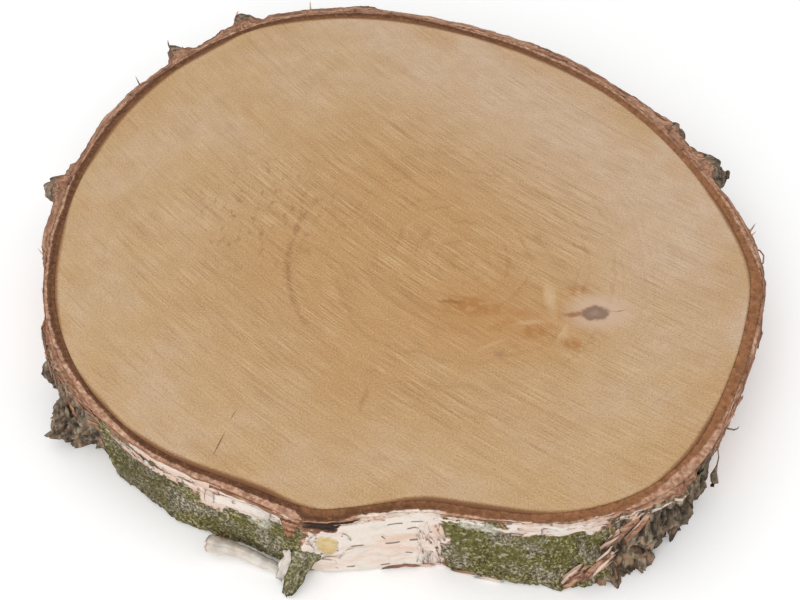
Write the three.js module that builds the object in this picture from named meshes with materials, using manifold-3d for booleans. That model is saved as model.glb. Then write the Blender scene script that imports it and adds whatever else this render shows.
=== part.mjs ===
// A slice sawn across a birch trunk: the wood, the brown inner bark and the ragged outer bark.
// Millimetres, +Z up. The slice lies on its sawn underside, with the origin in the middle of that face.
import * as THREE from "three";
import { mergeVertices } from "three/addons/utils/BufferGeometryUtils.js";
import Module from "manifold-3d";

const wasm = await Module();
wasm.setup();

// Driving dimensions. Angles are degrees round the slice, anticlockwise from +X, seen from above.
const sliceThickness = 30;
const layerGap = 0.3; // hairline where one grown layer parts from the next
const barkReach = 40; // more than any bark stands out from the inner bark
const taper = 0.022; // the trunk is narrower at the underside by this share
const woodSteps = 120;
const barkSteps = 192;
const barkRows = [0, 0.14, 0.28, 0.42, 0.57, 0.72, 0.86, 1]; // shares of the thickness

// Edge of the wood, anticlockwise from the right. The front has a shallow dip between two shoulders.
const woodRim = [
  [121, -22], [117, 6], [107, 31], [94, 55], [75, 79], [51, 98], [26, 110], [0, 119],
  [-28, 121], [-57, 114], [-84, 93], [-106, 61], [-117, 25], [-120, -8], [-116, -40],
  [-101, -72], [-77, -96], [-46, -111], [-26, -119], [-12, -118], [6, -116], [25, -119],
  [43, -121], [61, -118], [78, -110], [93, -95], [105, -73], [115, -48],
];

// Inner bark: its usual thickness, and stretches of the rim where it is thicker or thinner
const innerBark = {
  thickness: 3.4,
  stretches: [
    { centre: -102, halfWidth: 16, more: 0.9 },
    { centre: -49, halfWidth: 18, more: 1.2 },
    { centre: -4, halfWidth: 24, more: 0.6 },
    { centre: -135, halfWidth: 26, more: -0.7 },
    { centre: -72, halfWidth: 14, more: -0.5 },
    { centre: 140, halfWidth: 34, more: -0.6 },
  ],
};

// Outer bark: a paper-thin skin, with stretches where it has grown into thick fissured cork
const outerBark = {
  paper: 0.9,
  crust: 0.6, // waviness of the skin
  edgeDrop: 1.6, // how far the torn upper edge falls below the sawn face
  footLift: 1.2, // and the torn lower edge stands above the underside
  ridgeSpacing: 7.5,
  stretches: [
    { centre: -152, halfWidth: 15, more: 2.4 },
    { centre: -127, halfWidth: 16, more: 1.4 },
    { centre: -110, halfWidth: 9, more: 1.0 },
    { centre: -88, halfWidth: 14, more: 1.8 },
    { centre: -69, halfWidth: 16, more: 4.2 },
    { centre: -50, halfWidth: 16, more: 3.4 },
    { centre: -26, halfWidth: 14, more: 0.6 },
    { centre: 21, halfWidth: 14, more: 2.0 },
    { centre: 58, halfWidth: 34, more: 2.4 },
    { centre: 96, halfWidth: 12, more: 0.9 },
    { centre: 146, halfWidth: 16, more: 0.9 },
  ],
};

// Lumps of cork and dead bark: where each one's middle is, how far it stands out, its half sizes,
// and how far its long way is turned from the rim's direction
const burrs = [
  { angle: -153.5, height: 19, stand: 0.8, along: 6, up: 9, out: 4.6, turn: 0 },
  { angle: -148.5, height: 9, stand: 5.4, along: 7, up: 8, out: 5.6, turn: -20 },
  { angle: -143.5, height: 15, stand: 0.8, along: 4, up: 11, out: 3.4, turn: 12 },
  { angle: -63.5, height: 10.5, stand: 4.8, along: 3.2, up: 15, out: 4.2, turn: -42 },
  { angle: -57.5, height: 18, stand: 2.6, along: 5, up: 9, out: 4.6, turn: -25 },
  { angle: -51.5, height: 18, stand: 2.2, along: 4, up: 11, out: 4.4, turn: -10 },
  { angle: -57, height: 6, stand: 5.0, along: 7, up: 6, out: 4.6, turn: 0 },
  { angle: -46.5, height: 12, stand: 2.0, along: 4, up: 11, out: 4.0, turn: -8 },
  { angle: -41, height: 19, stand: 0.6, along: 3, up: 9, out: 3.4, turn: -8 },
  { angle: 16.5, height: 22, stand: 3.8, along: 7.5, up: 8, out: 5.5, turn: 0 },
  { angle: 22, height: 13, stand: 1.6, along: 4, up: 11, out: 4, turn: 8 },
  { angle: 28, height: 24, stand: 3.4, along: 4.5, up: 5.5, out: 4.4, turn: 0 },
  { angle: 62, height: 16, stand: 1.2, along: 6, up: 11, out: 4, turn: 10 },
  { angle: 118, height: 26, stand: 3.0, along: 4.5, up: 3.8, out: 4.5, turn: 0 },
  { angle: 131, height: 25, stand: 3.8, along: 3.6, up: 4.6, out: 5.2, turn: 0 },
  { angle: 146, height: 12, stand: 1.4, along: 6, up: 9, out: 4, turn: -10 },
  { angle: 168, height: 23, stand: 3.6, along: 4.2, up: 6, out: 5, turn: 0 },
];

// Sheets of bark that have come loose. Each starts in the bark at its root and stands off more at
// its free end or free edge; tip is the share of its width that is left at the lower edge.
const looseSheets = [
  { root: -104, free: -118.5, bottom: 1, top: 9, rootStand: 0.8, freeStand: 5.0, lean: 2.6, tip: 1 },
  { root: -101.5, free: -107, bottom: 0.6, top: 15, rootStand: 0.6, freeStand: 1.4, lean: 7.6, tip: 0.15 },
  { root: 42.5, free: 29.5, bottom: 20, top: 29.3, rootStand: 0.3, freeStand: 3.4, lean: 0, tip: 1 },
  { root: -70, free: -62.5, bottom: 12, top: 26, rootStand: 0.8, freeStand: 3.6, lean: 0.8, tip: 0.7 },
  { root: 84, free: 98, bottom: 5, top: 21, rootStand: 0.4, freeStand: 3.6, lean: 0.5, tip: 0.9 },
  { root: 160, free: 152, bottom: 9, top: 27, rootStand: 0.4, freeStand: 3.2, lean: 0.5, tip: 0.8 },
];
const sheet = { thickness: 1.1, stepsAlong: 10, stepsUp: 4 };

// The rim as a smooth closed curve, sampled finely so that any angle can be looked up
const rimCurve = new THREE.CatmullRomCurve3(
  woodRim.map(([x, y]) => new THREE.Vector3(x, y, 0)), true, "centripetal");

function rimStation(share) {
  const point = rimCurve.getPointAt(share);
  const along = rimCurve.getTangentAt(share);
  return {
    point,
    outward: new THREE.Vector3(along.y, -along.x, 0),
    angle: THREE.MathUtils.radToDeg(Math.atan2(point.y, point.x)),
    run: share * rimCurve.getLength(),
  };
}

const rimStations = (count) => Array.from({ length: count }, (_, i) => rimStation(i / count));
const fineStations = rimStations(1440);

function turnBetween(a, b) {
  return THREE.MathUtils.euclideanModulo(a - b + 180, 360) - 180;
}

function stationAt(angle) {
  return fineStations.reduce((best, station) =>
    Math.abs(turnBetween(station.angle, angle)) < Math.abs(turnBetween(best.angle, angle)) ? station : best);
}

// Smooth rise from 0 at a stretch's ends to its full value in the middle
function stretchSum(stretches, angle) {
  return stretches.reduce((sum, { centre, halfWidth, more }) => {
    const off = Math.abs(turnBetween(angle, centre)) / halfWidth;
    return off < 1 ? sum + more * Math.cos(off * Math.PI / 2) ** 2 : sum;
  }, 0);
}

const bastThickness = (angle) => innerBark.thickness + stretchSum(innerBark.stretches, angle);

// Distance from the wood's edge to the inner face of the outer bark
const barkSeat = (angle) => layerGap + bastThickness(angle) + layerGap;

// Fissures run up the trunk between rounded ridges of cork, slanting a little from one to the next
function corkRelief(run, height) {
  const slant = 2.2 * Math.sin(height * 0.21 + run * 0.037);
  const ridge = Math.abs(Math.sin(Math.PI * (run + slant) / outerBark.ridgeSpacing));
  const plates = 0.5 + 0.5 * Math.sin(height * 0.62 + 1.7 * Math.sin(run * 0.13));
  return 0.35 + 0.45 * ridge + 0.2 * plates;
}

function barkThickness({ angle, run }, height) {
  const wave = Math.sin(run * 0.31 + height * 0.17) + Math.sin(run * 0.117 - height * 0.43);
  const skin = outerBark.paper + outerBark.crust * 0.25 * (wave + 2);
  return skin + stretchSum(outerBark.stretches, angle) * corkRelief(run, height);
}

const tear = (run) => 0.5 + 0.3 * Math.sin(run * 0.23) + 0.2 * Math.sin(run * 0.71 + 1.3);

// A point at some distance outside the wood's edge
function outside({ point, outward }, distance, height) {
  return point.clone().addScaledVector(outward, distance).setZ(height);
}

// Solids for joining and cutting

function toSolid(geometry) {
  const bare = geometry.clone();
  bare.deleteAttribute("normal");
  bare.deleteAttribute("uv");
  const merged = mergeVertices(bare, 1e-4);
  return new wasm.Manifold(new wasm.Mesh({
    numProp: 3,
    vertProperties: new Float32Array(merged.attributes.position.array),
    triVerts: new Uint32Array(merged.index.array),
  }));
}

function toGeometry(solid) {
  const { vertProperties, triVerts } = solid.getMesh();
  const geometry = new THREE.BufferGeometry();
  geometry.setAttribute("position", new THREE.BufferAttribute(vertProperties, 3));
  geometry.setIndex(new THREE.BufferAttribute(triVerts, 1));
  geometry.computeVertexNormals();
  return geometry;
}

// The one large body: pockets sealed between lumps and sheets are filled, and loose scraps dropped
function mainBody(solid) {
  return solid.decompose().reduce((largest, body) => body.volume() > largest.volume() ? body : largest);
}

// Moves every vertex of a geometry to the place that a function gives for it
function reshape(geometry, place) {
  const position = geometry.getAttribute("position");
  const vertex = new THREE.Vector3();
  for (let i = 0; i < position.count; i += 1) {
    vertex.fromBufferAttribute(position, i);
    const moved = place(vertex, i);
    position.setXYZ(i, moved.x, moved.y, moved.z);
  }
  return geometry;
}

// The wood and the inner bark are sawn flush with both faces

function rimShape(distanceAt) {
  const edge = rimStations(woodSteps).map((station) => outside(station, distanceAt(station.angle), 0));
  return new THREE.Shape(edge.map(({ x, y }) => new THREE.Vector2(x, y)));
}

function sawn(shape) {
  return new THREE.ExtrudeGeometry(shape, { depth: sliceThickness, bevelEnabled: false });
}

function tapered(geometry) {
  return reshape(geometry, ({ x, y, z }) => {
    const share = 1 - taper * (1 - z / sliceThickness);
    return new THREE.Vector3(x * share, y * share, z);
  });
}

function woodGeometry() {
  return tapered(sawn(rimShape(() => 0)));
}

function innerBarkGeometry() {
  const ring = rimShape((angle) => layerGap + bastThickness(angle));
  ring.holes.push(rimShape(() => layerGap));
  return tapered(sawn(ring));
}

// The outer bark starts as a whole drum with the relief on its wall. Lumps and loose sheets are joined
// to it. Then what lies inside the inner bark is cut out, and what the two saw cuts took off is cut away.

function barkDrum() {
  const profile = [
    new THREE.Vector2(0, 0),
    ...barkRows.map((share) => new THREE.Vector2(1, share * sliceThickness)),
    new THREE.Vector2(0, sliceThickness),
  ];
  const stations = rimStations(barkSteps);
  const drum = new THREE.LatheGeometry(profile, barkSteps);
  return reshape(drum, (vertex, i) => {
    const station = stations[Math.floor(i / profile.length) % barkSteps];
    const row = i % profile.length;
    const onAxis = row === 0 || row === profile.length - 1;
    if (onAxis) return new THREE.Vector3(0, 0, vertex.y);
    const torn = tear(station.run);
    const foot = outerBark.footLift * torn;
    const brow = sliceThickness - outerBark.edgeDrop * (1 - torn);
    const height = THREE.MathUtils.lerp(foot, brow, barkRows[row - 1]);
    return outside(station, barkSeat(station.angle) + barkThickness(station, height), height);
  });
}

// A knobbly lump, sunk into the bark by more than a third of its depth
function burrGeometry({ angle, height, stand, along, up, out, turn }) {
  const station = stationAt(angle);
  const clockwise = new THREE.Vector3(station.outward.y, -station.outward.x, 0);
  const middle = outside(station, barkSeat(angle) + stand, height);
  const lean = THREE.MathUtils.degToRad(turn);
  return reshape(new THREE.IcosahedronGeometry(1, 3), ({ x, y, z }) => {
    const knobs = 1 + 0.2 * Math.sin(4 * x + 2 * z + angle) * Math.cos(3 * y - 2 * z)
      + 0.08 * Math.sin(6 * z + 5 * x - angle);
    const across = (x * along * Math.cos(lean) - z * up * Math.sin(lean)) * knobs;
    const rise = (x * along * Math.sin(lean) + z * up * Math.cos(lean)) * knobs;
    return middle.clone()
      .addScaledVector(clockwise, across)
      .addScaledVector(station.outward, y * out * knobs)
      .setZ(height + rise);
  });
}

// A sheet bent along the rim, standing off more towards its free end, with its lower edge leaning out
function sheetGeometry({ root, free, bottom, top, rootStand, freeStand, lean, tip }) {
  const flat = new THREE.BoxGeometry(1, 1, 1, sheet.stepsAlong, 1, sheet.stepsUp);
  const middle = (root + free) / 2;
  const sheetPoint = ({ x, y, z }) => {
    const alongShare = x + 0.5;
    const upShare = z + 0.5;
    const width = THREE.MathUtils.lerp(tip, 1, Math.sqrt(upShare));
    const angle = THREE.MathUtils.lerp(middle, THREE.MathUtils.lerp(root, free, alongShare), width);
    const station = stationAt(angle);
    const stand = THREE.MathUtils.lerp(rootStand, freeStand, alongShare ** 1.5)
      + lean * (1 - upShare) ** 1.5 - 0.8 * upShare;
    const ragged = 0.5 * Math.sin(alongShare * 11 + root);
    const height = THREE.MathUtils.lerp(bottom, top - ragged, upShare);
    return outside(station, barkSeat(angle) + stand + (y + 0.5) * sheet.thickness, height);
  };
  // Root and free end may run either way round, so the faces are put right where they run backwards
  const bent = reshape(flat, sheetPoint);
  if (free < root) return bent;
  const index = bent.getIndex().array;
  for (let i = 0; i < index.length; i += 3) [index[i], index[i + 1]] = [index[i + 1], index[i]];
  return bent;
}

function outerBarkGeometry() {
  const core = rimShape(barkSeat);
  const keptRing = rimShape((angle) => barkSeat(angle) + barkReach);
  keptRing.holes.push(core);
  const pieces = [...burrs.map(burrGeometry), ...looseSheets.map(sheetGeometry)].map(toSolid);
  const whole = pieces.reduce((bark, piece) => bark.add(piece), toSolid(barkDrum()));
  return tapered(toGeometry(mainBody(whole.intersect(toSolid(sawn(keptRing))))));
}

const finishes = {
  wood: new THREE.MeshStandardMaterial({ color: 0xc8a273, roughness: 0.75, metalness: 0 }),
  innerBark: new THREE.MeshStandardMaterial({ color: 0x6e4429, roughness: 0.9, metalness: 0 }),
  outerBark: new THREE.MeshStandardMaterial({ color: 0xb9aa98, roughness: 0.85, metalness: 0 }),
};

function layer(name, geometry, finish) {
  const mesh = new THREE.Mesh(geometry, finish);
  mesh.name = name;
  return mesh;
}

const slice = new THREE.Group();
slice.name = "birch_slice";
slice.add(
  layer("wood_disc", woodGeometry(), finishes.wood),
  layer("inner_bark", innerBarkGeometry(), finishes.innerBark),
  layer("outer_bark", outerBarkGeometry(), finishes.outerBark),
);

export default slice;
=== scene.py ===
import math
import random

import bmesh
import bpy
import numpy as np
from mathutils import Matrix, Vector, noise
from mathutils.bvhtree import BVHTree


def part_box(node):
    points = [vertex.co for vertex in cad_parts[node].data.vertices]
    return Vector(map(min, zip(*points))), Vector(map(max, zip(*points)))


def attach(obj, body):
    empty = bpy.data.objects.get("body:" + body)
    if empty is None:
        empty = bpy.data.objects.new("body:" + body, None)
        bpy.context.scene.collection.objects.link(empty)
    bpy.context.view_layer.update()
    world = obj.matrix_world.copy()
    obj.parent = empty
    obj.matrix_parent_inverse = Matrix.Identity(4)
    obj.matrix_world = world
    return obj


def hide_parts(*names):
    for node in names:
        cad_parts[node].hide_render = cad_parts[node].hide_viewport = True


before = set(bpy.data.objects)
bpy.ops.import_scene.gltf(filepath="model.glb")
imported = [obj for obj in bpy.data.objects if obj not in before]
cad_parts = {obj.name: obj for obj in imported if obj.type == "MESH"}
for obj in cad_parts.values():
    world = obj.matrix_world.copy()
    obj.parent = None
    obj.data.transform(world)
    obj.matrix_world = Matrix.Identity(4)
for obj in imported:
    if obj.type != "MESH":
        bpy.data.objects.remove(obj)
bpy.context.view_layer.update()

scene = bpy.context.scene
mm = 0.001
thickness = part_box("wood_disc")[1][2] / mm   # of the slice
print("frame loaded, slice", round(thickness, 1), "mm thick")


# the rim, read from the frame; angles in degrees anticlockwise from +X, lengths in mm

def angleOf(points):
    return np.degrees(np.arctan2(points[..., 1], points[..., 0]))


def byAngle(table, points):   # looks up pairs of angle and value
    angles, values = zip(*table)
    return np.interp(angleOf(points), angles, values, period=360)


def unit(directions):
    return directions / np.linalg.norm(directions, axis=-1, keepdims=True)


def sawnEdge(height):
    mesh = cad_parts["wood_disc"].data
    corners = np.empty(len(mesh.vertices) * 3)
    mesh.vertices.foreach_get("co", corners)
    corners = corners.reshape(-1, 3) / mm
    flat = corners[np.abs(corners[:, 2] - height) < 0.01][:, :2]
    flat = np.unique(np.round(flat, 3), axis=0)
    return flat[np.argsort(np.arctan2(flat[:, 1], flat[:, 0]))]


rim = sawnEdge(thickness)
rimAngles = angleOf(rim)
rimLength = np.linalg.norm(np.roll(rim, -1, axis=0) - rim, axis=1).sum()
footShare = np.linalg.norm(sawnEdge(0), axis=1).mean() / np.linalg.norm(rim, axis=1).mean()


def rimAt(share):   # share of the way round, from the -180 degree side
    place = (np.asarray(share, float) % 1) * len(rim)
    first = np.floor(place).astype(int)
    t = (place - first)[..., None]
    a, b, c, d = (rim[(first + k) % len(rim)] for k in (-1, 0, 1, 2))
    point = b + 0.5 * t * (c - a + t * (2 * a - 5 * b + 4 * c - d + t * (3 * (b - c) + d - a)))
    along = 0.5 * (c - a) + t * (2 * a - 5 * b + 4 * c - d) + 1.5 * t * t * (3 * (b - c) + d - a)
    along = unit(along)
    return point, np.stack([along[..., 1], -along[..., 0]], axis=-1)


def shareAt(angle):
    turns = np.concatenate([rimAngles - 360, rimAngles, rimAngles + 360])
    shares = (np.arange(len(turns)) - len(rim)) / len(rim)
    return np.interp((np.asarray(angle, float) + 180) % 360 - 180, turns, shares)


def taperAt(height):
    return 1 - (1 - footShare) * (1 - np.asarray(height, float) / thickness)


def outside(share, stand, height):   # a point that stands off the wood's edge
    point, outward = rimAt(share)
    _, stand, height = np.broadcast_arrays(*(np.asarray(value, float) for value in (share, stand, height)))
    flat = (point + outward * stand[..., None]) * taperAt(height)[..., None]
    return np.concatenate([flat, height[..., None]], axis=-1)


# where the CAD bark starts and ends, cast from the wood's edge outwards

castSettings = {"stations": 720, "rows": 16, "lowest": 2.0, "highest": 27.5, "skin": 0.12,
                "usualSeat": 4.0, "usualDepth": 1.2, "smoothings": 2}   # the usual ones where a ray misses


def castBark(s):
    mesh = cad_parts["outer_bark"].data
    tree = BVHTree.FromPolygons([v.co for v in mesh.vertices], [p.vertices[:] for p in mesh.polygons])
    heights = np.linspace(s["lowest"], s["highest"], s["rows"])
    shares = np.arange(s["stations"]) / s["stations"]
    points, outward = rimAt(shares)
    seats = np.full(s["stations"], s["usualSeat"])
    outs = np.empty((s["stations"], s["rows"]))
    for i, (point, way) in enumerate(zip(points, outward)):
        heading = Vector((way[0], way[1], 0))
        middle = taperAt(thickness / 2)
        start = Vector((point[0] * middle, point[1] * middle, thickness / 2)) * mm
        hit = tree.ray_cast(start, heading)
        if hit[0] is not None:
            seats[i] = hit[3] / mm / middle
        for k, height in enumerate(heights):
            scale = taperAt(height)
            inner = (point + way * (seats[i] + s["skin"])) * scale
            hit = tree.ray_cast(Vector((inner[0], inner[1], height)) * mm, heading)
            far = hit[3] / mm / scale if hit[0] is not None else s["usualDepth"]
            outs[i, k] = seats[i] + s["skin"] + far
    for _ in range(s["smoothings"]):
        outs = 0.25 * np.roll(outs, 1, axis=0) + 0.5 * outs + 0.25 * np.roll(outs, -1, axis=0)
        seats = 0.25 * np.roll(seats, 1) + 0.5 * seats + 0.25 * np.roll(seats, -1)
    return heights, seats, outs


castHeights, castSeats, castOuts = castBark(castSettings)


def lookUp(table, share, height=None):
    place = (np.asarray(share, float) % 1) * len(table)
    i = np.floor(place).astype(int) % len(table)
    t = place - np.floor(place)
    j = (i + 1) % len(table)
    if height is None:
        return table[i] * (1 - t) + table[j] * t
    row = np.interp(height, castHeights, np.arange(len(castHeights)))
    k = np.clip(np.floor(row).astype(int), 0, len(castHeights) - 2)
    f = row - k
    low = table[i, k] * (1 - t) + table[j, k] * t
    high = table[i, k + 1] * (1 - t) + table[j, k + 1] * t
    return low * (1 - f) + high * f


print("bark cast, seat", castSeats.min().round(2), "to", castSeats.max().round(2), "mm off the wood")


# grids: every piece starts as a flat grid that is then wrapped into place

def fractalAt(points, size, octaves=3):
    scaled = points.reshape(-1, 3) / np.asarray(size, float)
    values = [noise.fractal(Vector(p), 1.0, 2.0, octaves) for p in scaled]
    return np.array(values).reshape(points.shape[:-1])


def smoothStep(low, high, value):
    t = np.clip((value - low) / (high - low), 0, 1)
    return t * t * (3 - 2 * t)


def addGrid(bm, points, wrapU=False, wrapV=False, layers=None, uv=None):
    nU, nV = points.shape[:2]
    stepsU = nU if wrapU else nU - 1
    stepsV = nV if wrapV else nV - 1
    verts = bmesh.ops.create_grid(bm, x_segments=stepsU, y_segments=stepsV, size=1)["verts"]
    spots = {}
    for vert in verts:
        i = round((vert.co.x + 1) / 2 * stepsU)
        j = round((vert.co.y + 1) / 2 * stepsV)
        spots[vert] = (i, j)
        vert.co = points[i % nU, j % nV] * mm
        for name, values in (layers or {}).items():
            store = bm.verts.layers.float_color if values.ndim == 3 else bm.verts.layers.float
            value = values[i % nU, j % nV]
            vert[store[name]] = tuple(value) if values.ndim == 3 else float(value)
    if uv is not None:
        uvLayer = bm.loops.layers.uv["barkUv"]
        for face in {f for vert in verts for f in vert.link_faces}:
            for loop in face.loops:
                i, j = spots[loop.vert]
                loop[uvLayer].uv = uv[min(i, uv.shape[0] - 1), j % nV]


def startBark():
    bm = bmesh.new()
    bm.verts.layers.float_color.new("zone")   # paper, lichen and cork in red, green and blue
    # the relief drives the painted shade in hollows and the painted highlight on crests
    bm.verts.layers.float.new("relief")       # crest above 0, hollow below
    bm.verts.layers.float.new("tone")         # differs from flake to flake
    bm.verts.layers.float.new("strata")       # mm across the bark's layers, up the wall and over its edge
    bm.loops.layers.uv.new("barkUv")
    return bm


def finishMesh(bm, name, material, replaced=None):
    bmesh.ops.remove_doubles(bm, verts=bm.verts, dist=2e-7)
    bmesh.ops.recalc_face_normals(bm, faces=bm.faces)
    for face in bm.faces:
        face.smooth = True
    mesh = bpy.data.meshes.new(name)
    bm.to_mesh(mesh)
    bm.free()
    piece = bpy.data.objects.new(name, mesh)
    scene.collection.objects.link(piece)
    mesh.materials.append(material)
    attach(piece, "root")
    if replaced:
        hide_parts(replaced)
    print(name, len(mesh.polygons), "faces")


# shader helpers

def toLinear(r, g, b):
    channels = [c / 255 for c in (r, g, b)]
    return tuple(c / 12.92 if c <= 0.04045 else ((c + 0.055) / 1.055) ** 2.4 for c in channels) + (1.0,)


def feed(tree, node, inputs):   # links sockets and sets plain values
    for key, value in inputs.items():
        if isinstance(value, bpy.types.NodeSocket):
            tree.links.new(value, node.inputs[key])
        else:
            node.inputs[key].default_value = value


def addNode(tree, kind, inputs=None, **settings):
    node = tree.nodes.new(kind)
    for key, value in settings.items():
        setattr(node, key, value)
    feed(tree, node, inputs or {})
    return node


def calc(tree, operation, a, b=0.0, clamp=False):
    return addNode(tree, "ShaderNodeMath", {0: a, 1: b}, operation=operation, use_clamp=clamp).outputs[0]


def times(tree, a, b):
    return calc(tree, "MULTIPLY", a, b)


def vectors(tree, operation, *given, output="Vector"):
    return addNode(tree, "ShaderNodeVectorMath", dict(enumerate(given)), operation=operation).outputs[output]


def measure(tree, operation, *given):   # one number from vectors
    return vectors(tree, operation, *given, output="Value")


def noiseAt(tree, vector, scale, detail, roughness=0.5, output=0):
    inputs = {"Vector": vector, "Scale": scale, "Detail": detail, "Roughness": roughness}
    return addNode(tree, "ShaderNodeTexNoise", inputs).outputs[output]


def blend(tree, share, a, b, mode="MIX"):
    node = addNode(tree, "ShaderNodeMix", {0: share, 6: a, 7: b}, data_type="RGBA", blend_type=mode)
    return node.outputs[2]


def between(tree, share, first, second):   # two tints mixed
    return blend(tree, share, toLinear(*first), toLinear(*second))


def paint(tree, colour, tint, mask, share=1.0):   # lays a tint over a colour where the mask is
    return blend(tree, mask if share == 1.0 else times(tree, mask, share), colour, toLinear(*tint))


def rangeOf(tree, value, low, high, outLow=0.0, outHigh=1.0):
    return addNode(tree, "ShaderNodeMapRange", {0: value, 1: low, 2: high, 3: outLow, 4: outHigh},
                   interpolation_type="SMOOTHSTEP").outputs[0]


def ramp(tree, value, stops):
    node = addNode(tree, "ShaderNodeValToRGB", {0: value})
    elements = node.color_ramp.elements
    while len(elements) < len(stops):
        elements.new(0.5)
    for element, (place, colour) in zip(elements, stops):
        element.position = place
        element.color = toLinear(*colour)
    return node.outputs[0]


def inMillimetres(tree):
    place = addNode(tree, "ShaderNodeTexCoord").outputs["Object"]
    return addNode(tree, "ShaderNodeVectorMath", {0: place, "Scale": 1000.0}, operation="SCALE").outputs[0]


def attribute(tree, name, output="Fac"):
    return addNode(tree, "ShaderNodeAttribute", attribute_name=name).outputs[output]


def newGroup(name, inputs, outputs):
    tree = bpy.data.node_groups.new(name, "ShaderNodeTree")
    for label, kind in inputs:
        tree.interface.new_socket(name=label, in_out="INPUT", socket_type="NodeSocket" + kind)
    for label, kind in outputs:
        tree.interface.new_socket(name=label, in_out="OUTPUT", socket_type="NodeSocket" + kind)
    return tree, tree.nodes.new("NodeGroupInput").outputs, tree.nodes.new("NodeGroupOutput").inputs


# blotches of a given size in mm, stretched between a low and a high noise value
mottleTree, given, wanted = newGroup(
    "mottle", [("Vector", "Vector"), ("Size", "Vector"), ("Low", "Float"), ("High", "Float")],
    [("Value", "Float")])
scaled = vectors(mottleTree, "DIVIDE", given[0], given[1])
cloud = noiseAt(mottleTree, scaled, 1.0, 4.0, 0.6)
mottleTree.links.new(rangeOf(mottleTree, cloud, given[2], given[3]), wanted[0])

# painted shade that darkens hollows and painted highlight that lightens crests
shadeTree, given, wanted = newGroup(
    "hollowShade", [("Color", "Color"), ("Relief", "Float"), ("Depth", "Float")], [("Color", "Color")])
dim = times(shadeTree, rangeOf(shadeTree, given[1], 0.1, -1.0), given[2])
dim = calc(shadeTree, "SUBTRACT", 1.0, dim)
lift = calc(shadeTree, "ADD", dim, rangeOf(shadeTree, given[1], 0.1, 1.0, 0.0, 0.22))
grey = addNode(shadeTree, "ShaderNodeCombineColor", {0: lift, 1: lift, 2: lift}).outputs[0]
shadeTree.links.new(blend(shadeTree, 1.0, given[0], grey, "MULTIPLY"), wanted[0])


def mottle(tree, vector, size, low=0.35, high=0.65):
    size = (size, size, size) if isinstance(size, (int, float)) else size
    inputs = {0: vector, 1: size, 2: low, 3: high}
    return addNode(tree, "ShaderNodeGroup", inputs, node_tree=mottleTree).outputs[0]


def hollowShade(tree, colour, relief, depth):
    inputs = {0: colour, 1: relief, 2: depth}
    return addNode(tree, "ShaderNodeGroup", inputs, node_tree=shadeTree).outputs[0]


def newMaterial(name):
    material = bpy.data.materials.new(name)
    material.use_nodes = True
    tree = material.node_tree
    tree.nodes.clear()
    shader = tree.nodes.new("ShaderNodeBsdfPrincipled")
    output = tree.nodes.new("ShaderNodeOutputMaterial")
    tree.links.new(shader.outputs[0], output.inputs[0])
    return material, tree, shader


def finishMaterial(tree, shader, colour, roughness, specular, height, strength, distance):
    bump = addNode(tree, "ShaderNodeBump", {"Height": height, "Strength": strength, "Distance": distance})
    feed(tree, shader, {"Base Color": colour, "Normal": bump.outputs[0], "Roughness": roughness,
                        "Specular IOR Level": specular})


# the sawn face

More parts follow.
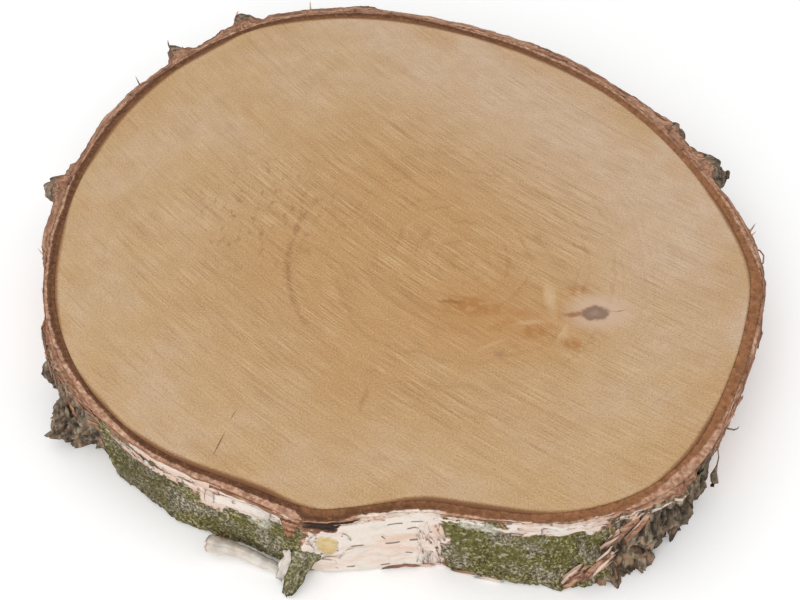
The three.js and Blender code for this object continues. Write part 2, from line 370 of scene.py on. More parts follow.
woodLook = {
    "sapwood": (197, 165, 124), "heart": (190, 148, 99),
    "pinkish": (205, 178, 152), "ochre": (190, 150, 102),
    "middle": (4.0, -12.0, 0.0),         # of the heartwood's tone
    "pith": (21.0, -16.0, 0.0),          # the rings' middle
    "ringSpacing": 2.7, "ringTint": (158, 110, 66), "paleRing": (214, 178, 134),
    "darkRing": (142, 98, 58), "darkRadius": 60.0,
    "sawCentre": (429.0, 452.0, 0.0),    # the blade's arcs are struck from here
    "sawWay": (0.727, -0.687, 0.0),
    # mm across and along the cut
    "sawSizes": {"fine": (0.5, 15.0), "coarse": (2.2, 45.0), "bands": (9.0, 60.0)},
    # noise where a mark starts and where it is full, its share and tint: partly the marks' own tint, partly
    # painted highlight and shade
    "sawMarkTintAndShade": [("fine", 0.53, 0.68, 0.5, (224, 195, 152)), ("fine", 0.47, 0.32, 0.5, (150, 108, 66)),
                 ("coarse", 0.56, 0.72, 0.26, (220, 190, 148)), ("coarse", 0.46, 0.3, 0.34, (156, 112, 70)),
                 ("bands", 0.54, 0.74, 0.3, (172, 128, 82))],
    "darkGrain": (140, 100, 62), "paleGrain": (228, 204, 168), "cloud": (166, 124, 80),
    "darkSpeck": (96, 64, 40), "freckle": (150, 104, 64),
    "grains": {"stain": ((4.0, 2.6, 1.0), 0.34, 0.56), "blotch": (2.6, 0.34, 0.58)},
    # centre, half lengths, turn, how much of it is full, share, tint and the grain that breaks it up
    "spots": [
        ((25.0, -36.5), (13.5, 5.4), -7.0, 0.4, 0.72, (158, 102, 52), "stain"),   # brown stain at the pith
        ((40.0, -39.5), (11.0, 3.0), -8.0, 0.2, 0.4, (172, 116, 62), "stain"),
        ((17.0, -34.4), (6.0, 1.3), -8.0, 0.3, 0.5, (116, 72, 38), None),
        ((34.0, -42.0), (46.0, 26.0), -8.0, 0.1, 0.42, (184, 132, 76), None),
        ((44.5, -48.0), (7.0, 5.0), 10.0, 0.2, 0.62, (168, 108, 54), "blotch"),   # orange round the knot
        ((57.5, -53.5), (5.5, 4.6), -15.0, 0.2, 0.65, (168, 108, 54), "blotch"),
        ((60.3, -29.2), (8.0, 3.6), 8.0, 0.2, 0.5, (168, 108, 54), "blotch"),
        ((34.0, -46.0), (7.0, 3.0), 24.0, 0.2, 0.4, (168, 108, 54), "blotch"),
        ((51.2, -33.0), (3.0, 12.0), 6.0, 0.0, 0.5, (222, 192, 156), None),       # pale lines between
        ((54.6, -48.5), (1.8, 6.0), -24.0, 0.0, 0.4, (222, 192, 156), None),
        ((43.0, -44.0), (8.0, 1.4), 8.0, 0.0, 0.35, (222, 192, 156), None),
        ((30.0, -54.0), (10.0, 1.2), 26.0, 0.0, 0.25, (222, 192, 156), None),
        ((67.5, -39.3), (15.0, 11.0), 4.0, 0.4, 0.75, (206, 176, 152), None),     # halo of the knot
        ((58.6, -40.4), (4.6, 1.7), 0.0, 0.25, 0.8, (150, 98, 58), None),         # wedge on its left
        ((65.8, -39.8), (6.0, 4.0), 0.0, 0.62, 0.85, (128, 100, 84), None),       # grey eye
        ((66.0, -39.9), (3.2, 2.0), 0.0, 0.1, 0.55, (166, 140, 120), None),
        ((74.5, -38.6), (4.2, 0.35), 8.0, 0.3, 0.55, (120, 82, 54), None),        # hairline crack on its right, painted dark as the shade in it
        ((33.1, -57.4), (2.6, 2.2), 0.0, 0.3, 0.5, (146, 112, 84), None),
    ],
    # the same first four for the drying checks, painted dark as the shade in their cracks, and the faint
    # streak on the near side
    "checks": [((-56.9, -94.5), (0.3, 6.2), -18.7, 0.3), ((-53.2, -83.0), (0.2, 3.2), -22.0, 0.2)],
    "checkShade": (92, 58, 34),
    "streak": ((-11.5, -76.0), (1.2, 8.0), -18.0, 0.2), "streakTint": (160, 112, 66),
    "lobe": (112, 73, 47), "lobeEdge": (140, 98, 63),
    # angle and mm: how far the brown of the inner bark reaches over the wood's edge
    "brown": [(-180, 1.0), (-162, 0.9), (-154, 0), (-150, 0), (-146, 0.6), (-140, 1.1), (-135, 0.5),
              (-130, 1.2), (-120, 1.6), (-110, 1.8), (-106, 1.0), (-101, 0), (-97, 0), (-92, 0.7),
              (-85, 1.6), (-78, 1.8), (-72, 1.5), (-67, 0.5), (-60, 0), (-55, 0.2), (-50, 1.0), (-43, 1.3),
              (-37, 0.3), (-22, 0.1), (-14, 0.5), (-5, 1.0), (1, 1.4), (8, 1.2), (14, 0.2), (20, 0),
              (30, 0.2), (40, 0.6), (50, 1.4), (60, 1.7), (68, 1.5), (76, 0.6), (88, 1.2), (112, 1.1),
              (119, 0), (124, 1.4), (128, 1.6), (135, 1.0), (145, 1.4), (155, 1.5), (161, 1.2), (167, 0.1),
              (172, 0)],
}


def makeWoodMaterial(s):
    material, tree, shader = newMaterial("sawnBirch")
    place = inMillimetres(tree)
    flat = vectors(tree, "MULTIPLY", place, (1, 1, 0))
    sway = vectors(tree, "SUBTRACT", noiseAt(tree, flat, 0.35, 2.0, output=1), (0.5, 0.5, 0.5))
    wobbled = vectors(tree, "MULTIPLY_ADD", sway, (3.0, 3.0, 0.0), flat)

    def spot(centre, half, turn, inner, vector=wobbled):   # soft oval, 1 in the middle
        local = addNode(tree, "ShaderNodeMapping", {0: vector, 1: centre + (0.0,),
                        2: (0, 0, math.radians(turn)), 3: half + (1.0,)}, vector_type="TEXTURE").outputs[0]
        return rangeOf(tree, measure(tree, "LENGTH", local), 1.0, inner)

    # tone from the heart to the sapwood
    fromMiddle = measure(tree, "DISTANCE", flat, s["middle"])
    slow = calc(tree, "ADD", times(tree, mottle(tree, flat, 55.0, 0.25, 0.75), 34.0),
                times(tree, mottle(tree, flat, 17.0, 0.25, 0.75), 16.0))
    outwards = rangeOf(tree, calc(tree, "ADD", fromMiddle, slow), 48.0, 142.0)
    colour = between(tree, outwards, s["heart"], s["sapwood"])
    farSide = measure(tree, "DOT_PRODUCT", flat, (0.8, 0.6, 0.0))
    pinkShare = rangeOf(tree, fromMiddle, 55.0, 105.0, 0.0, 0.6)
    pinkShare = times(tree, mottle(tree, flat, 30.0, 0.4, 0.7), pinkShare)
    pinkShare = calc(tree, "ADD", pinkShare, rangeOf(tree, farSide, 15.0, 90.0, 0.0, 0.75), True)
    colour = paint(tree, colour, s["pinkish"], pinkShare)
    edge = attribute(tree, "edge")
    nearRim = times(tree, rangeOf(tree, edge, 20.0, 1.0), mottle(tree, flat, 38.0, 0.4, 0.62))
    colour = paint(tree, colour, s["ochre"], nearRim, 0.6)

    # growth rings
    fromPith = measure(tree, "DISTANCE", wobbled, s["pith"])
    ringRadius = calc(tree, "ADD", fromPith, times(tree, mottle(tree, flat, 60.0, 0.2, 0.8), 9.0))
    ringCount = calc(tree, "DIVIDE", ringRadius, s["ringSpacing"])
    rings = noiseAt(tree, addNode(tree, "ShaderNodeCombineXYZ", {0: ringCount}).outputs[0], 1.0, 1.0)
    ringShare = times(tree, rangeOf(tree, rings, 0.5, 0.66), rangeOf(tree, fromPith, 85.0, 25.0, 0.2, 0.8))
    ringShare = times(tree, ringShare, mottle(tree, flat, 15.0, 0.38, 0.62))
    colour = paint(tree, colour, s["ringTint"], ringShare, 0.5)
    paleRings = times(tree, rangeOf(tree, rings, 0.46, 0.3), rangeOf(tree, fromPith, 60.0, 15.0, 0.0, 0.2))
    colour = paint(tree, colour, s["paleRing"], paleRings)
    offRing = calc(tree, "ABSOLUTE", calc(tree, "SUBTRACT", fromPith, s["darkRadius"]))
    darkRing = times(tree, rangeOf(tree, offRing, 1.7, 0.3), mottle(tree, flat, 5.0, 0.36, 0.56))
    darkRing = times(tree, darkRing, spot((-40.0, -16.0), (24.0, 46.0), 0.0, 0.4))
    colour = paint(tree, colour, s["darkRing"], darkRing, 0.62)

    # saw marks: streaks along arcs of a large circle, some fine and some coarse, partly their own tint and
    # partly painted highlight on their ridges and painted shade in their troughs
    fromBlade = measure(tree, "DISTANCE", flat, s["sawCentre"])
    alongCut = measure(tree, "DOT_PRODUCT", flat, s["sawWay"])
    sawPatch = calc(tree, "ADD", mottle(tree, flat, 36.0, 0.34, 0.66), 0.3, True)
    sawPatch = times(tree, sawPatch, rangeOf(tree, fromMiddle, 120.0, 50.0, 0.5, 1.0))
    saw = {}
    for name, (across, along) in s["sawSizes"].items():
        spread = addNode(tree, "ShaderNodeCombineXYZ", {0: calc(tree, "DIVIDE", fromBlade, across),
                                                        1: calc(tree, "DIVIDE", alongCut, along)}).outputs[0]
        saw[name] = noiseAt(tree, spread, 1.0, 2.0)
    for name, low, high, share, tint in s["sawMarkTintAndShade"]:
        mark = times(tree, rangeOf(tree, saw[name], low, high, 0.0, share), sawPatch)
        colour = paint(tree, colour, tint, mark)

    # grain, a few dark specks and the brown freckles left of the heart
    speckle = noiseAt(tree, flat, 1.7, 3.0)
    colour = paint(tree, colour, s["darkGrain"], rangeOf(tree, speckle, 0.5, 0.7, 0.0, 0.34))
    colour = paint(tree, colour, s["paleGrain"], rangeOf(tree, speckle, 0.5, 0.3, 0.0, 0.3))
    colour = paint(tree, colour, s["cloud"], mottle(tree, flat, 7.0, 0.3, 0.7), 0.16)
    specks = times(tree, mottle(tree, flat, 1.0, 0.65, 0.7), mottle(tree, flat, 20.0, 0.46, 0.58))
    colour = paint(tree, colour, s["darkSpeck"], specks, 0.6)
    freckles = times(tree, mottle(tree, flat, (2.8, 4.2, 1.0), 0.55, 0.66),
                     spot((-50.0, 8.0), (40.0, 46.0), 0.0, 0.15))
    colour = paint(tree, colour, s["freckle"], freckles, 0.5)

    # stain, blotches and knot, then the drying checks with painted shade in their cracks, and the streak
    grains = {name: mottle(tree, wobbled, *grain) for name, grain in s["grains"].items()}
    for centre, half, turn, inner, share, tint, grain in s["spots"]:
        mask = spot(centre, half, turn, inner)
        if grain:
            mask = times(tree, mask, grains[grain])
        colour = paint(tree, colour, tint, mask, share)
    checks = calc(tree, "MAXIMUM", *(spot(*check, vector=flat) for check in s["checks"]))
    colour = paint(tree, colour, s["checkShade"], checks, 0.75)
    colour = paint(tree, colour, s["streakTint"], spot(*s["streak"]), 0.4)

    # brown inner bark that reaches over the edge in lobes
    uneven = times(tree, calc(tree, "SUBTRACT", mottle(tree, flat, 0.7, 0.2, 0.8), 0.5), 0.6)
    over = calc(tree, "ADD", calc(tree, "SUBTRACT", attribute(tree, "brown"), edge), uneven)
    lobe = between(tree, rangeOf(tree, over, 0.2, 1.8), s["lobeEdge"], s["lobe"])
    colour = blend(tree, rangeOf(tree, over, -0.7, 0.7), colour, lobe)

    height = calc(tree, "ADD", times(tree, saw["fine"], sawPatch), times(tree, speckle, 0.5))
    height = calc(tree, "SUBTRACT", height, times(tree, checks, 1.5))
    roughness = rangeOf(tree, saw["fine"], 0.3, 0.7, 0.82, 0.68)
    finishMaterial(tree, shader, colour, roughness, 0.25, height, 0.4, 0.0004)
    return material


woodShape = {
    "steps": 720, "roundOff": 0.08, "reach": 115,   # mm from the innermost inset to the middle
    "insets": [0.0, 0.35, 0.9, 1.8, 3.2, 5.0], "shares": [0.95, 0.86, 0.7, 0.5, 0.3, 0.12, 0.0],
}


def makeWood(s):
    shares = np.arange(s["steps"]) / s["steps"]
    rows, edges = [], []
    for inset in s["insets"]:
        rows.append(outside(shares, -inset, thickness))
        edges.append(np.full(s["steps"], inset))
    rows[0][:, 2] -= s["roundOff"]
    innermost = rows[-1]
    for share in s["shares"]:
        row = innermost.copy()
        row[:, :2] *= share
        rows.append(row)
        edges.append(np.full(s["steps"], s["insets"][-1] + (1 - share) * s["reach"]))
    below = []
    for row in rows:
        low = row.copy()
        low[:, :2] *= footShare
        low[:, 2] = thickness - row[:, 2]
        below.append(low)
    points = np.stack(below[::-1] + rows, axis=1)
    bm = bmesh.new()
    bm.verts.layers.float.new("edge")
    bm.verts.layers.float.new("brown")
    brown = byAngle(woodLook["brown"], innermost)
    addGrid(bm, points, wrapU=True, layers={"edge": np.stack(edges[::-1] + edges, axis=1),
                                            "brown": np.broadcast_to(brown[:, None], points.shape[:2])})
    finishMesh(bm, "wood_face", makeWoodMaterial(woodLook), "wood_disc")


makeWood(woodShape)


# the brown ring of inner bark

bastLook = {
    "brown": [(0.0, (138, 96, 62)), (0.45, (118, 78, 50)), (0.85, (94, 61, 42)), (1.0, (106, 71, 50))],
    "rind": [(0.0, (146, 102, 78)), (0.5, (182, 140, 114)), (1.0, (206, 170, 146))],
    "rightSide": (158, 108, 73), "crumb": (176, 130, 94), "pit": (66, 42, 28), "whiteEdge": (222, 204, 188),
}


def makeBastMaterial(s):
    material, tree, shader = newMaterial("innerBark")
    place = inMillimetres(tree)
    uneven = times(tree, mottle(tree, place, 2.4, 0.25, 0.75), 0.6)
    uneven = calc(tree, "SUBTRACT", calc(tree, "ADD", attribute(tree, "across"), uneven), 0.3)
    colour = ramp(tree, rangeOf(tree, uneven, -4.0, 0.0), s["brown"])
    toRight = measure(tree, "DOT_PRODUCT", place, (0.9, -0.2, 0.0))
    colour = paint(tree, colour, s["rightSide"], rangeOf(tree, toRight, -10.0, 100.0, 0.0, 0.75))
    colour = paint(tree, colour, s["crumb"], mottle(tree, place, 0.8, 0.5, 0.7), 0.3)
    colour = paint(tree, colour, s["pit"], mottle(tree, place, 1.2, 0.5, 0.34), 0.35)
    rind = ramp(tree, mottle(tree, place, 1.4, 0.25, 0.75), s["rind"])
    rind = paint(tree, rind, s["whiteEdge"], attribute(tree, "paperEdge"))
    colour = blend(tree, rangeOf(tree, uneven, -0.2, 0.3), colour, rind)
    colour = hollowShade(tree, colour, attribute(tree, "relief"), 0.25)
    finishMaterial(tree, shader, colour, 0.9, 0.2, noiseAt(tree, place, 1.6, 3.0), 0.4, 0.0005)
    return material


bastShape = {
    "steps": 1200, "topRows": 9, "wallRows": 5, "gap": 0.04, "seatGap": 0.3, "rough": 0.2, "fray": 0.4,
    # angle and mm off the wood: where the brown ends and the paler rind starts
    "brownEnd": [(-180, 2.6), (-155, 2.5), (-146, 1.6), (-140, 1.0), (-130, 2.0), (-120, 1.7), (-110, 2.3),
                 (-105, 2.0), (-103.5, 4.6), (-98.5, 4.6), (-96.5, 3.2), (-90, 3.3), (-75, 3.0), (-60, 3.6),
                 (-52, 1.6), (-45, 2.3), (-36, 3.4), (-30, 4.0), (-12, 4.0), (-4, 2.6), (0, 2.3), (20, 3.0),
                 (40, 2.7), (60, 1.8), (80, 3.0), (90, 3.4), (110, 2.7), (122, 2.0), (140, 2.7), (160, 2.4),
                 (166, 3.2), (175, 2.0)],
}


def makeBast(s):
    shares = np.arange(s["steps"]) / s["steps"]
    seats = lookUp(castSeats, shares) - s["seatGap"]
    edgeTop = outside(shares, seats, thickness - 1)
    brownEnd = byAngle(s["brownEnd"], edgeTop)
    rows, across = [], []
    for v in np.linspace(0, 1, s["topRows"]):
        row = outside(shares, s["gap"] + (seats - s["gap"]) * v, thickness)
        grain = fractalAt(row, 1.6, 3)
        dip = 0.1 * math.exp(-(v / 0.12) ** 2)
        row[:, 2] += s["rough"] * (grain - 0.5) - dip - s["fray"] * v ** 4 * (0.7 + fractalAt(row + 50, 4.0))
        row[:, 2] = np.minimum(row[:, 2], thickness)
        rows.append(row)
        across.append(seats * v - brownEnd)
    for v in np.linspace(0, 1, s["wallRows"] + 2)[1:-1]:
        rows.append(outside(shares, seats, (1 - v) * thickness))
        across.append(seats - brownEnd)
    for v in np.linspace(1, 0, 4):
        row = outside(shares, s["gap"] + (seats - s["gap"]) * v, 0.0)
        row[:, 2] += 0.15 * (fractalAt(row, 1.6) + 0.6)
        row[:, 2] = np.maximum(row[:, 2], 0.0)
        rows.append(row)
        across.append(seats * v - brownEnd)
    rows.append(outside(shares, s["gap"], thickness / 2))
    across.append(-brownEnd)
    points = np.stack(rows, axis=1)
    relief = np.clip(fractalAt(points, 1.6, 3) * 1.4, -1, 1)
    paper = zonesAt(edgeTop)[0][:, 0] * whiteSide(edgeTop)
    bm = bmesh.new()
    for name in ("across", "relief", "paperEdge"):
        bm.verts.layers.float.new(name)
    addGrid(bm, points, wrapU=True, wrapV=True, layers={
        "across": np.stack(across, axis=1), "relief": relief,
        "paperEdge": np.broadcast_to(paper[:, None], relief.shape)})
    finishMesh(bm, "inner_bark_ring", makeBastMaterial(bastLook), "inner_bark")


# the outer bark: which kind of bark is where

barkZones = {   # angle, half width in degrees, lowest and highest point in mm
    "paper": [(-91.6, 7.6, -3, 33), (-100.8, 2.2, -3, 24), (-118.3, 2.4, 15.5, 33), (-114, 3.6, 18.5, 33),
              (-109, 3.4, 22, 33), (-126, 6, 26, 33), (-69.5, 6.5, 26, 33), (-62.5, 3.5, 24, 33),
              (72, 24, -3, 33), (112, 12, -3, 20), (161, 8, 5, 26), (40, 7, 4, 24)],
    "lichen": [(-79.5, 4.8, -3, 33), (-71, 6, -3, 27), (-64.5, 3.5, -3, 25), (-113, 10, -3, 24),
               (-131.5, 9.5, -3, 27), (92, 7, 2, 18), (127, 7, 4, 24), (52, 6, 0, 12)],
    "cork": [(-52, 10.5, -3, 33), (-150.5, 9.5, -3, 33), (19.5, 10.5, -3, 33), (146, 9, -3, 28),
             (62, 5, 0, 30), (167, 3.5, -3, 33), (131.5, 3.0, 4, 33), (119, 3.0, 8, 33)],
    "softAngle": 2.0, "softHeight": 1.6, "stray": 2.2,
    # angle, half width, low, high and depth in mm: the cleft under the edge, which is cut in and also
    # painted dark as shade
    "hollows": [(-101.6, 2.2, 25.6, 32, 3.6), (-98.4, 2.4, 27.8, 32, 3.6)],
    # the same for places that stand nearer or further out than the solid, then how softly in mm
    "shifts": [(-50, 12, -3, 33, 0.6, 2), (-44.5, 5, -3, 33, 2.8, 2), (-66, 4.5, -3, 4, -3.2, 5),
               (-61, 2.6, -3, 3, -3.0, 4), (-55.5, 2.5, -3, 9, 2.2, 2), (-146.0, 2.2, -3, 9, -5.0, 2),
               (-142.0, 2.6, -3, 16, 3.0, 3), (-151.5, 2.6, -3, 13, 2.4, 3), (-121, 5, -3, 5, -1.0, 2),
               (-166, 6, -3, 33, 1.6, 2), (-139, 3, -3, 10, -1.0, 2), (176, 9, -3, 33, -1.5, 2),
               (166.5, 3, -3, 33, -1.8, 2), (132.5, 2, -3, 33, -2.0, 2), (119.5, 2.4, -3, 33, -1.8, 2),
               (92, 22, -3, 33, -0.7, 2), (105, 9, -3, 33, -0.8, 2), (36, 5, -3, 33, -1.2, 2),
               (17, 5, -3, 33, -1.8, 2), (26.5, 2.4, -3, 33, -1.4, 2), (-74, 4, -3, 4, -1.2, 3),
               (-96, 10, -3, 5, -0.9, 4), (-78, 6, -3, 4, -0.8, 3), (-66, 3, -3, 2, -2.2, 3),
               (-56.5, 2, -3, 8, 1.4, 2), (-60, 2, -3, 6, -1.4, 4), (-39, 4, -3, 33, 1.0, 2),
               (95, 78, -3, 33, -0.7, 2)],
    "browIn": (-100, 40, 16, 60, 2.3, 10),   # the near side leans in towards its upper edge
    # angle, half width, low, high and tone: pinker paper, duller or paler lichen, the torn right side
    "tones": [(-126, 6, 24, 33, 0.45), (-118.5, 2.2, 14, 24, 0.35), (-85.2, 2.2, -3, 33, 0.35),
              (-131, 6.5, -3, 26, 0.75), (-110.5, 1.4, 16.5, 22.5, -0.6), (-79.3, 2.4, 23.5, 27.5, -0.6),
              (-178, 18, -3, 33, 0.5), (-20, 22, 12, 33, 0.35), (-49, 9, -3, 25, -0.35),
              (-150, 8, -3, 24, -0.2)],
    "scar": {"angle": -100.3, "height": 16.0, "halfWidth": 1.65, "halfHeight": 5.2},
}


def patchMask(angle, height, patch, softAngle, softHeight):
    centre, half, low, high = patch[:4]
    off = np.abs((angle - centre + 180) % 360 - 180)
    inside = smoothStep(-1, 1, (half - off) / softAngle) * smoothStep(-1, 1, (height - low) / softHeight)
    return inside * smoothStep(-1, 1, (high - height) / softHeight)


def zonesAt(points, s=barkZones):
    stray = fractalAt(points, 6.0) + 0.6 * fractalAt(points + 31, 2.0)
    angle = angleOf(points)
    strayed = angle + stray * s["stray"] * 0.7
    wilder = smoothStep(-20, 40, points[..., 1])   # towards the back
    strayed = strayed + 5 * fractalAt(points + 60, 12.0) * wilder
    height = points[..., 2] + s["stray"] * (fractalAt(points + 77, 5.0) + 0.5 * fractalAt(points + 13, 1.7))

    def cover(patches):
        masks = [patchMask(strayed, height, p, s["softAngle"], s["softHeight"]) for p in patches]
        return np.max(masks, axis=0)

    cork = cover(s["cork"])
    paper = cover(s["paper"]) * (1 - cork)
    lichen = cover(s["lichen"]) * (1 - cork) * (1 - paper)
    hole = np.max([patchMask(strayed, height, p, 0.8, 0.9) for p in s["hollows"]], axis=0)
    lichen, paper = lichen * (1 - hole), paper * (1 - hole)
    sore = s["scar"]
    far = np.hypot((angle - sore["angle"]) / sore["halfWidth"],
                   (points[..., 2] - sore["height"]) / sore["halfHeight"])
    scar = 1 - smoothStep(0.8, 1.05, far + 0.25 * fractalAt(points, 2.0, 2))
    cream = (1 - smoothStep(1.1, 1.6, far + 0.5 * fractalAt(points, 1.5, 2))) * (1 - hole)
    lichen, paper = lichen * (1 - cream), np.maximum(paper, cream)
    shift = s["hollows"][0][4] * hole + 0.9 * scar - 0.4 * cream
    shift = shift + sum(p[4] * patchMask(strayed, height, p, 1.6, p[5]) for p in s["shifts"])
    lean = s["browIn"]
    shift = shift + lean[4] * patchMask(angle, points[..., 2], lean, 6, lean[5])
    tone = sum(p[4] * patchMask(angle, points[..., 2], p, 1.2, 1.4) for p in s["tones"])
    # the cleft's low tone paints its shade dark
    tone = tone * (1 - cream) * (1 - hole) - 1.2 * scar - 1.2 * hole
    return np.stack([paper, lichen, cork, np.ones(cork.shape)], axis=-1), shift, tone, hole


def nearSide(points):   # 0 at the back, 1 at the front
    return smoothStep(20, -60, points[..., 1])


def whiteSide(points):   # the upper edge is white at the front, but brown on the left of the cleft
    return nearSide(points) * smoothStep(-36, -22, points[..., 0])


makeBast(bastShape)


def terraces(value, count):   # soft treads and steep risers
    scaled = value * count
    whole = np.floor(scaled)
    return (whole + smoothStep(0.72, 1.0, scaled - whole)) / count


def barkDetail(points, zones):
    paper, lichen, cork = (zones[..., k] for k in range(3))
    plain = np.clip(1 - paper - lichen - cork, 0, 1)
    layers = terraces(fractalAt(points, (26, 26, 5.0), 3), 4)
    onPaper = 0.12 * fractalAt(points, 9.0) + 0.3 * layers
    onLichen = 0.6 * np.abs(fractalAt(points, 2.6, 4)) + 0.35 * fractalAt(points, 1.1, 2)
    fissure = np.abs(fractalAt(points, (4.6, 4.6, 20.0), 3))
    onCork = 0.9 - 2.6 * (1 - smoothStep(0.0, 0.3, fissure))
    onCork = onCork + 0.9 * fractalAt(points + 9, (2.2, 2.2, 6.0), 4)
    onCork = onCork + 0.55 * fractalAt(points, 1.1, 3)
    onCork = onCork + 0.8 * terraces(fractalAt(points + 3, (7.0, 7.0, 5.0), 2), 3)
    shreds = terraces(fractalAt(points + 5, (30, 30, 2.6), 3), 4)
    onPlain = 0.6 * shreds + 0.3 * fractalAt(points, 2.4, 3)
    onCork = onCork * (1 - 0.8 * smoothStep(21, 29, points[..., 2]))
    return paper * onPaper + lichen * onLichen + cork * onCork + plain * onPlain


barkShape = {"steps": 1500, "wallRows": 38, "topRows": 4, "tear": 1.5, "seatGap": 0.22, "foot": 0.9}


def makeBarkWall(s, material):
    shares = np.arange(s["steps"]) / s["steps"]
    seats = lookUp(castSeats, shares) - s["seatGap"]
    edgeTop = outside(shares, seats, thickness)
    torn = np.clip(0.5 + 0.9 * fractalAt(edgeTop, 7.0, 4), 0, 1)
    whiteTop = whiteSide(edgeTop)
    brow = thickness - 0.1 - s["tear"] * torn * (0.3 + 0.7 * nearSide(edgeTop))
    foot = np.clip(s["foot"] * (0.3 + 0.9 * fractalAt(edgeTop + 40, 6.0, 4)), 0.02, 1.2)
    heights = foot[:, None] + (brow - foot)[:, None] * np.linspace(0, 1, s["wallRows"])[None, :]
    wide = np.broadcast_to(shares[:, None], heights.shape)
    base = lookUp(castOuts, wide, heights)
    bare = outside(wide, base, heights)
    zones, shift, tone, hole = zonesAt(bare)
    detail = barkDetail(bare, zones)
    up = np.linspace(0, 1, s["wallRows"])[None, :]
    rounding = 0.45 * (np.clip((up - 0.93) / 0.07, 0, 1) ** 2 + np.clip((0.07 - up) / 0.07, 0, 1) ** 2)
    stand = np.maximum(base + detail - shift - rounding, seats[:, None] + 0.35)
    wall = outside(wide, stand, heights)

    soft = detail.copy()
    for _ in range(10):
        soft = (soft + np.roll(soft, 2, axis=0) + np.roll(soft, -2, axis=0)) / 3
        padded = np.pad(soft, ((0, 0), (1, 1)), mode="edge")
        soft = (padded[:, :-2] + padded[:, 1:-1] + padded[:, 2:]) / 3
    relief = np.clip((detail - soft) / 0.8, -1, 1) * (1 - 0.65 * zones[..., 0])
    # painted shade: the cleft is pushed to full hollow so that it darkens
    relief = np.clip(relief - 1.8 * hole, -1, 1)

    tables = (wall, zones, relief, tone, heights)
    rows, rowZones, rowRelief, rowTone, rowStrata = [[table[:, k] for k in range(s["wallRows"])]
                                                     for table in tables]
    overhang = stand[:, -1] - seats
    sawnZone = np.broadcast_to(np.array([0.0, 0.0, 0.0, 1.0]), (s["steps"], 4))
    for k in range(1, s["topRows"] + 1):
        f = 1 - k / s["topRows"]
        reach = overhang * f
        row = outside(shares, seats + reach, brow)
        rough = 0.35 + zones[:, -1, 2]
        row[:, 2] += 0.3 * (1 - f) + rough * 0.6 * (fractalAt(row, 2.0, 3) - 0.2) * math.sin(math.pi * f)
        row[:, 2] = np.minimum(row[:, 2], thickness)
        rows.append(row)
        creep = smoothStep(3.4, 6.2, reach)   # crust creeps over the burrs' tops
        share = np.stack([whiteTop * smoothStep(-0.3, 0.5, f), creep, creep, np.zeros(s["steps"])], axis=-1)
        rowZones.append(np.maximum(sawnZone, zones[:, -1] * share))
        rowRelief.append(np.clip(fractalAt(row, 1.4, 3), -1, 1))
        rowTone.append(0.6 - 0.35 * smoothStep(3, 7, reach))   # darker out on the burrs
        crumbs = 3.0 * fractalAt(row, 2.2, 3) * smoothStep(2.5, 5, overhang)
        rowStrata.append(thickness + overhang * (1 - f) + crumbs)
    rows.append(outside(shares, seats, thickness / 2))
    for f in (0.0, 0.5):
        rows.append(outside(shares, seats + (stand[:, 0] - seats) * f, foot))
    for _ in range(3):
        rowZones.append(sawnZone)
        rowRelief.append(relief[:, 0])
        rowTone.append(np.full(s["steps"], 0.6))
        rowStrata.append(np.zeros(s["steps"]))

    points = np.stack(rows, axis=1)
    run = shares * rimLength
    uv = np.zeros((s["steps"] + 1, points.shape[1], 2))
    uv[:-1, :, 0] = run[:, None] / 100
    uv[-1, :, 0] = rimLength / 100
    uv[:-1, :, 1] = points[..., 2] / 100
    uv[-1, :, 1] = uv[0, :, 1]
    bm = startBark()
    addGrid(bm, points, wrapU=True, wrapV=True, uv=uv, layers={
        "zone": np.stack(rowZones, axis=1), "relief": np.stack(rowRelief, axis=1),
        "tone": np.stack(rowTone, axis=1), "strata": np.stack(rowStrata, axis=1)})
    finishMesh(bm, "bark_wall", material, "outer_bark")
    return stand, heights


barkLook = {
    "layers": [(0.0, (84, 54, 39)), (0.35, (128, 86, 63)), (0.7, (164, 119, 91)), (1.0, (200, 160, 132))],
    # tone where another look starts and where it is full, its share, dark and pale tint
    "paleLayers": (0.1, 1.0, 0.75, (158, 112, 86), (212, 172, 146)),
    # painted shade: dark layers where the tone is low, as in the cleft
    "paintedShadeLayers": (-0.3, -0.9, 1.0, (54, 38, 32), (96, 66, 53)),
    "paper": (228, 217, 206), "paperPink": (221, 192, 174), "paperGrey": (196, 190, 180),
    "paperBrown": (206, 164, 140),
    "greyPaper": (-0.04, -0.2, 0.85, (188, 182, 172), (226, 220, 210)),
    "scar": (-0.3, -0.8, 1.0, (198, 170, 118), (216, 194, 148)),
    "lenticel": (96, 74, 62), "cellWidth": 9.5, "cellHeight": 5.5,   # one lenticel a cell, at most
    "moss": [(0.0, (54, 48, 30)), (0.35, (88, 81, 44)), (0.7, (122, 114, 64)), (0.9, (158, 150, 104)),
             (1.0, (194, 188, 156))],
    "greyCrust": [(0.0, (62, 54, 44)), (0.35, (104, 94, 76)), (0.7, (150, 141, 118)),
                  (1.0, (206, 200, 180))],
    "olive": (92, 88, 40), "paleSpot": (192, 187, 164),
    "darkMoss": (0.3, 1.0, 0.6, (52, 44, 34), (110, 100, 76)),
    "paleMoss": (-0.05, -0.5, 0.9, (150, 148, 126), (216, 212, 196)),
    "cork": [(0.0, (52, 43, 36)), (0.3, (88, 76, 63)), (0.65, (124, 110, 92)), (1.0, (170, 156, 134))],
    "tornCork": (164, 126, 100), "mossyCork": (112, 108, 76),
    "brownCork": (0.4, 1.0, 0.8, (134, 96, 76), (204, 164, 138)),
    "darkCork": (-0.05, -0.4, 0.7, (42, 34, 28), (112, 98, 82)),
}


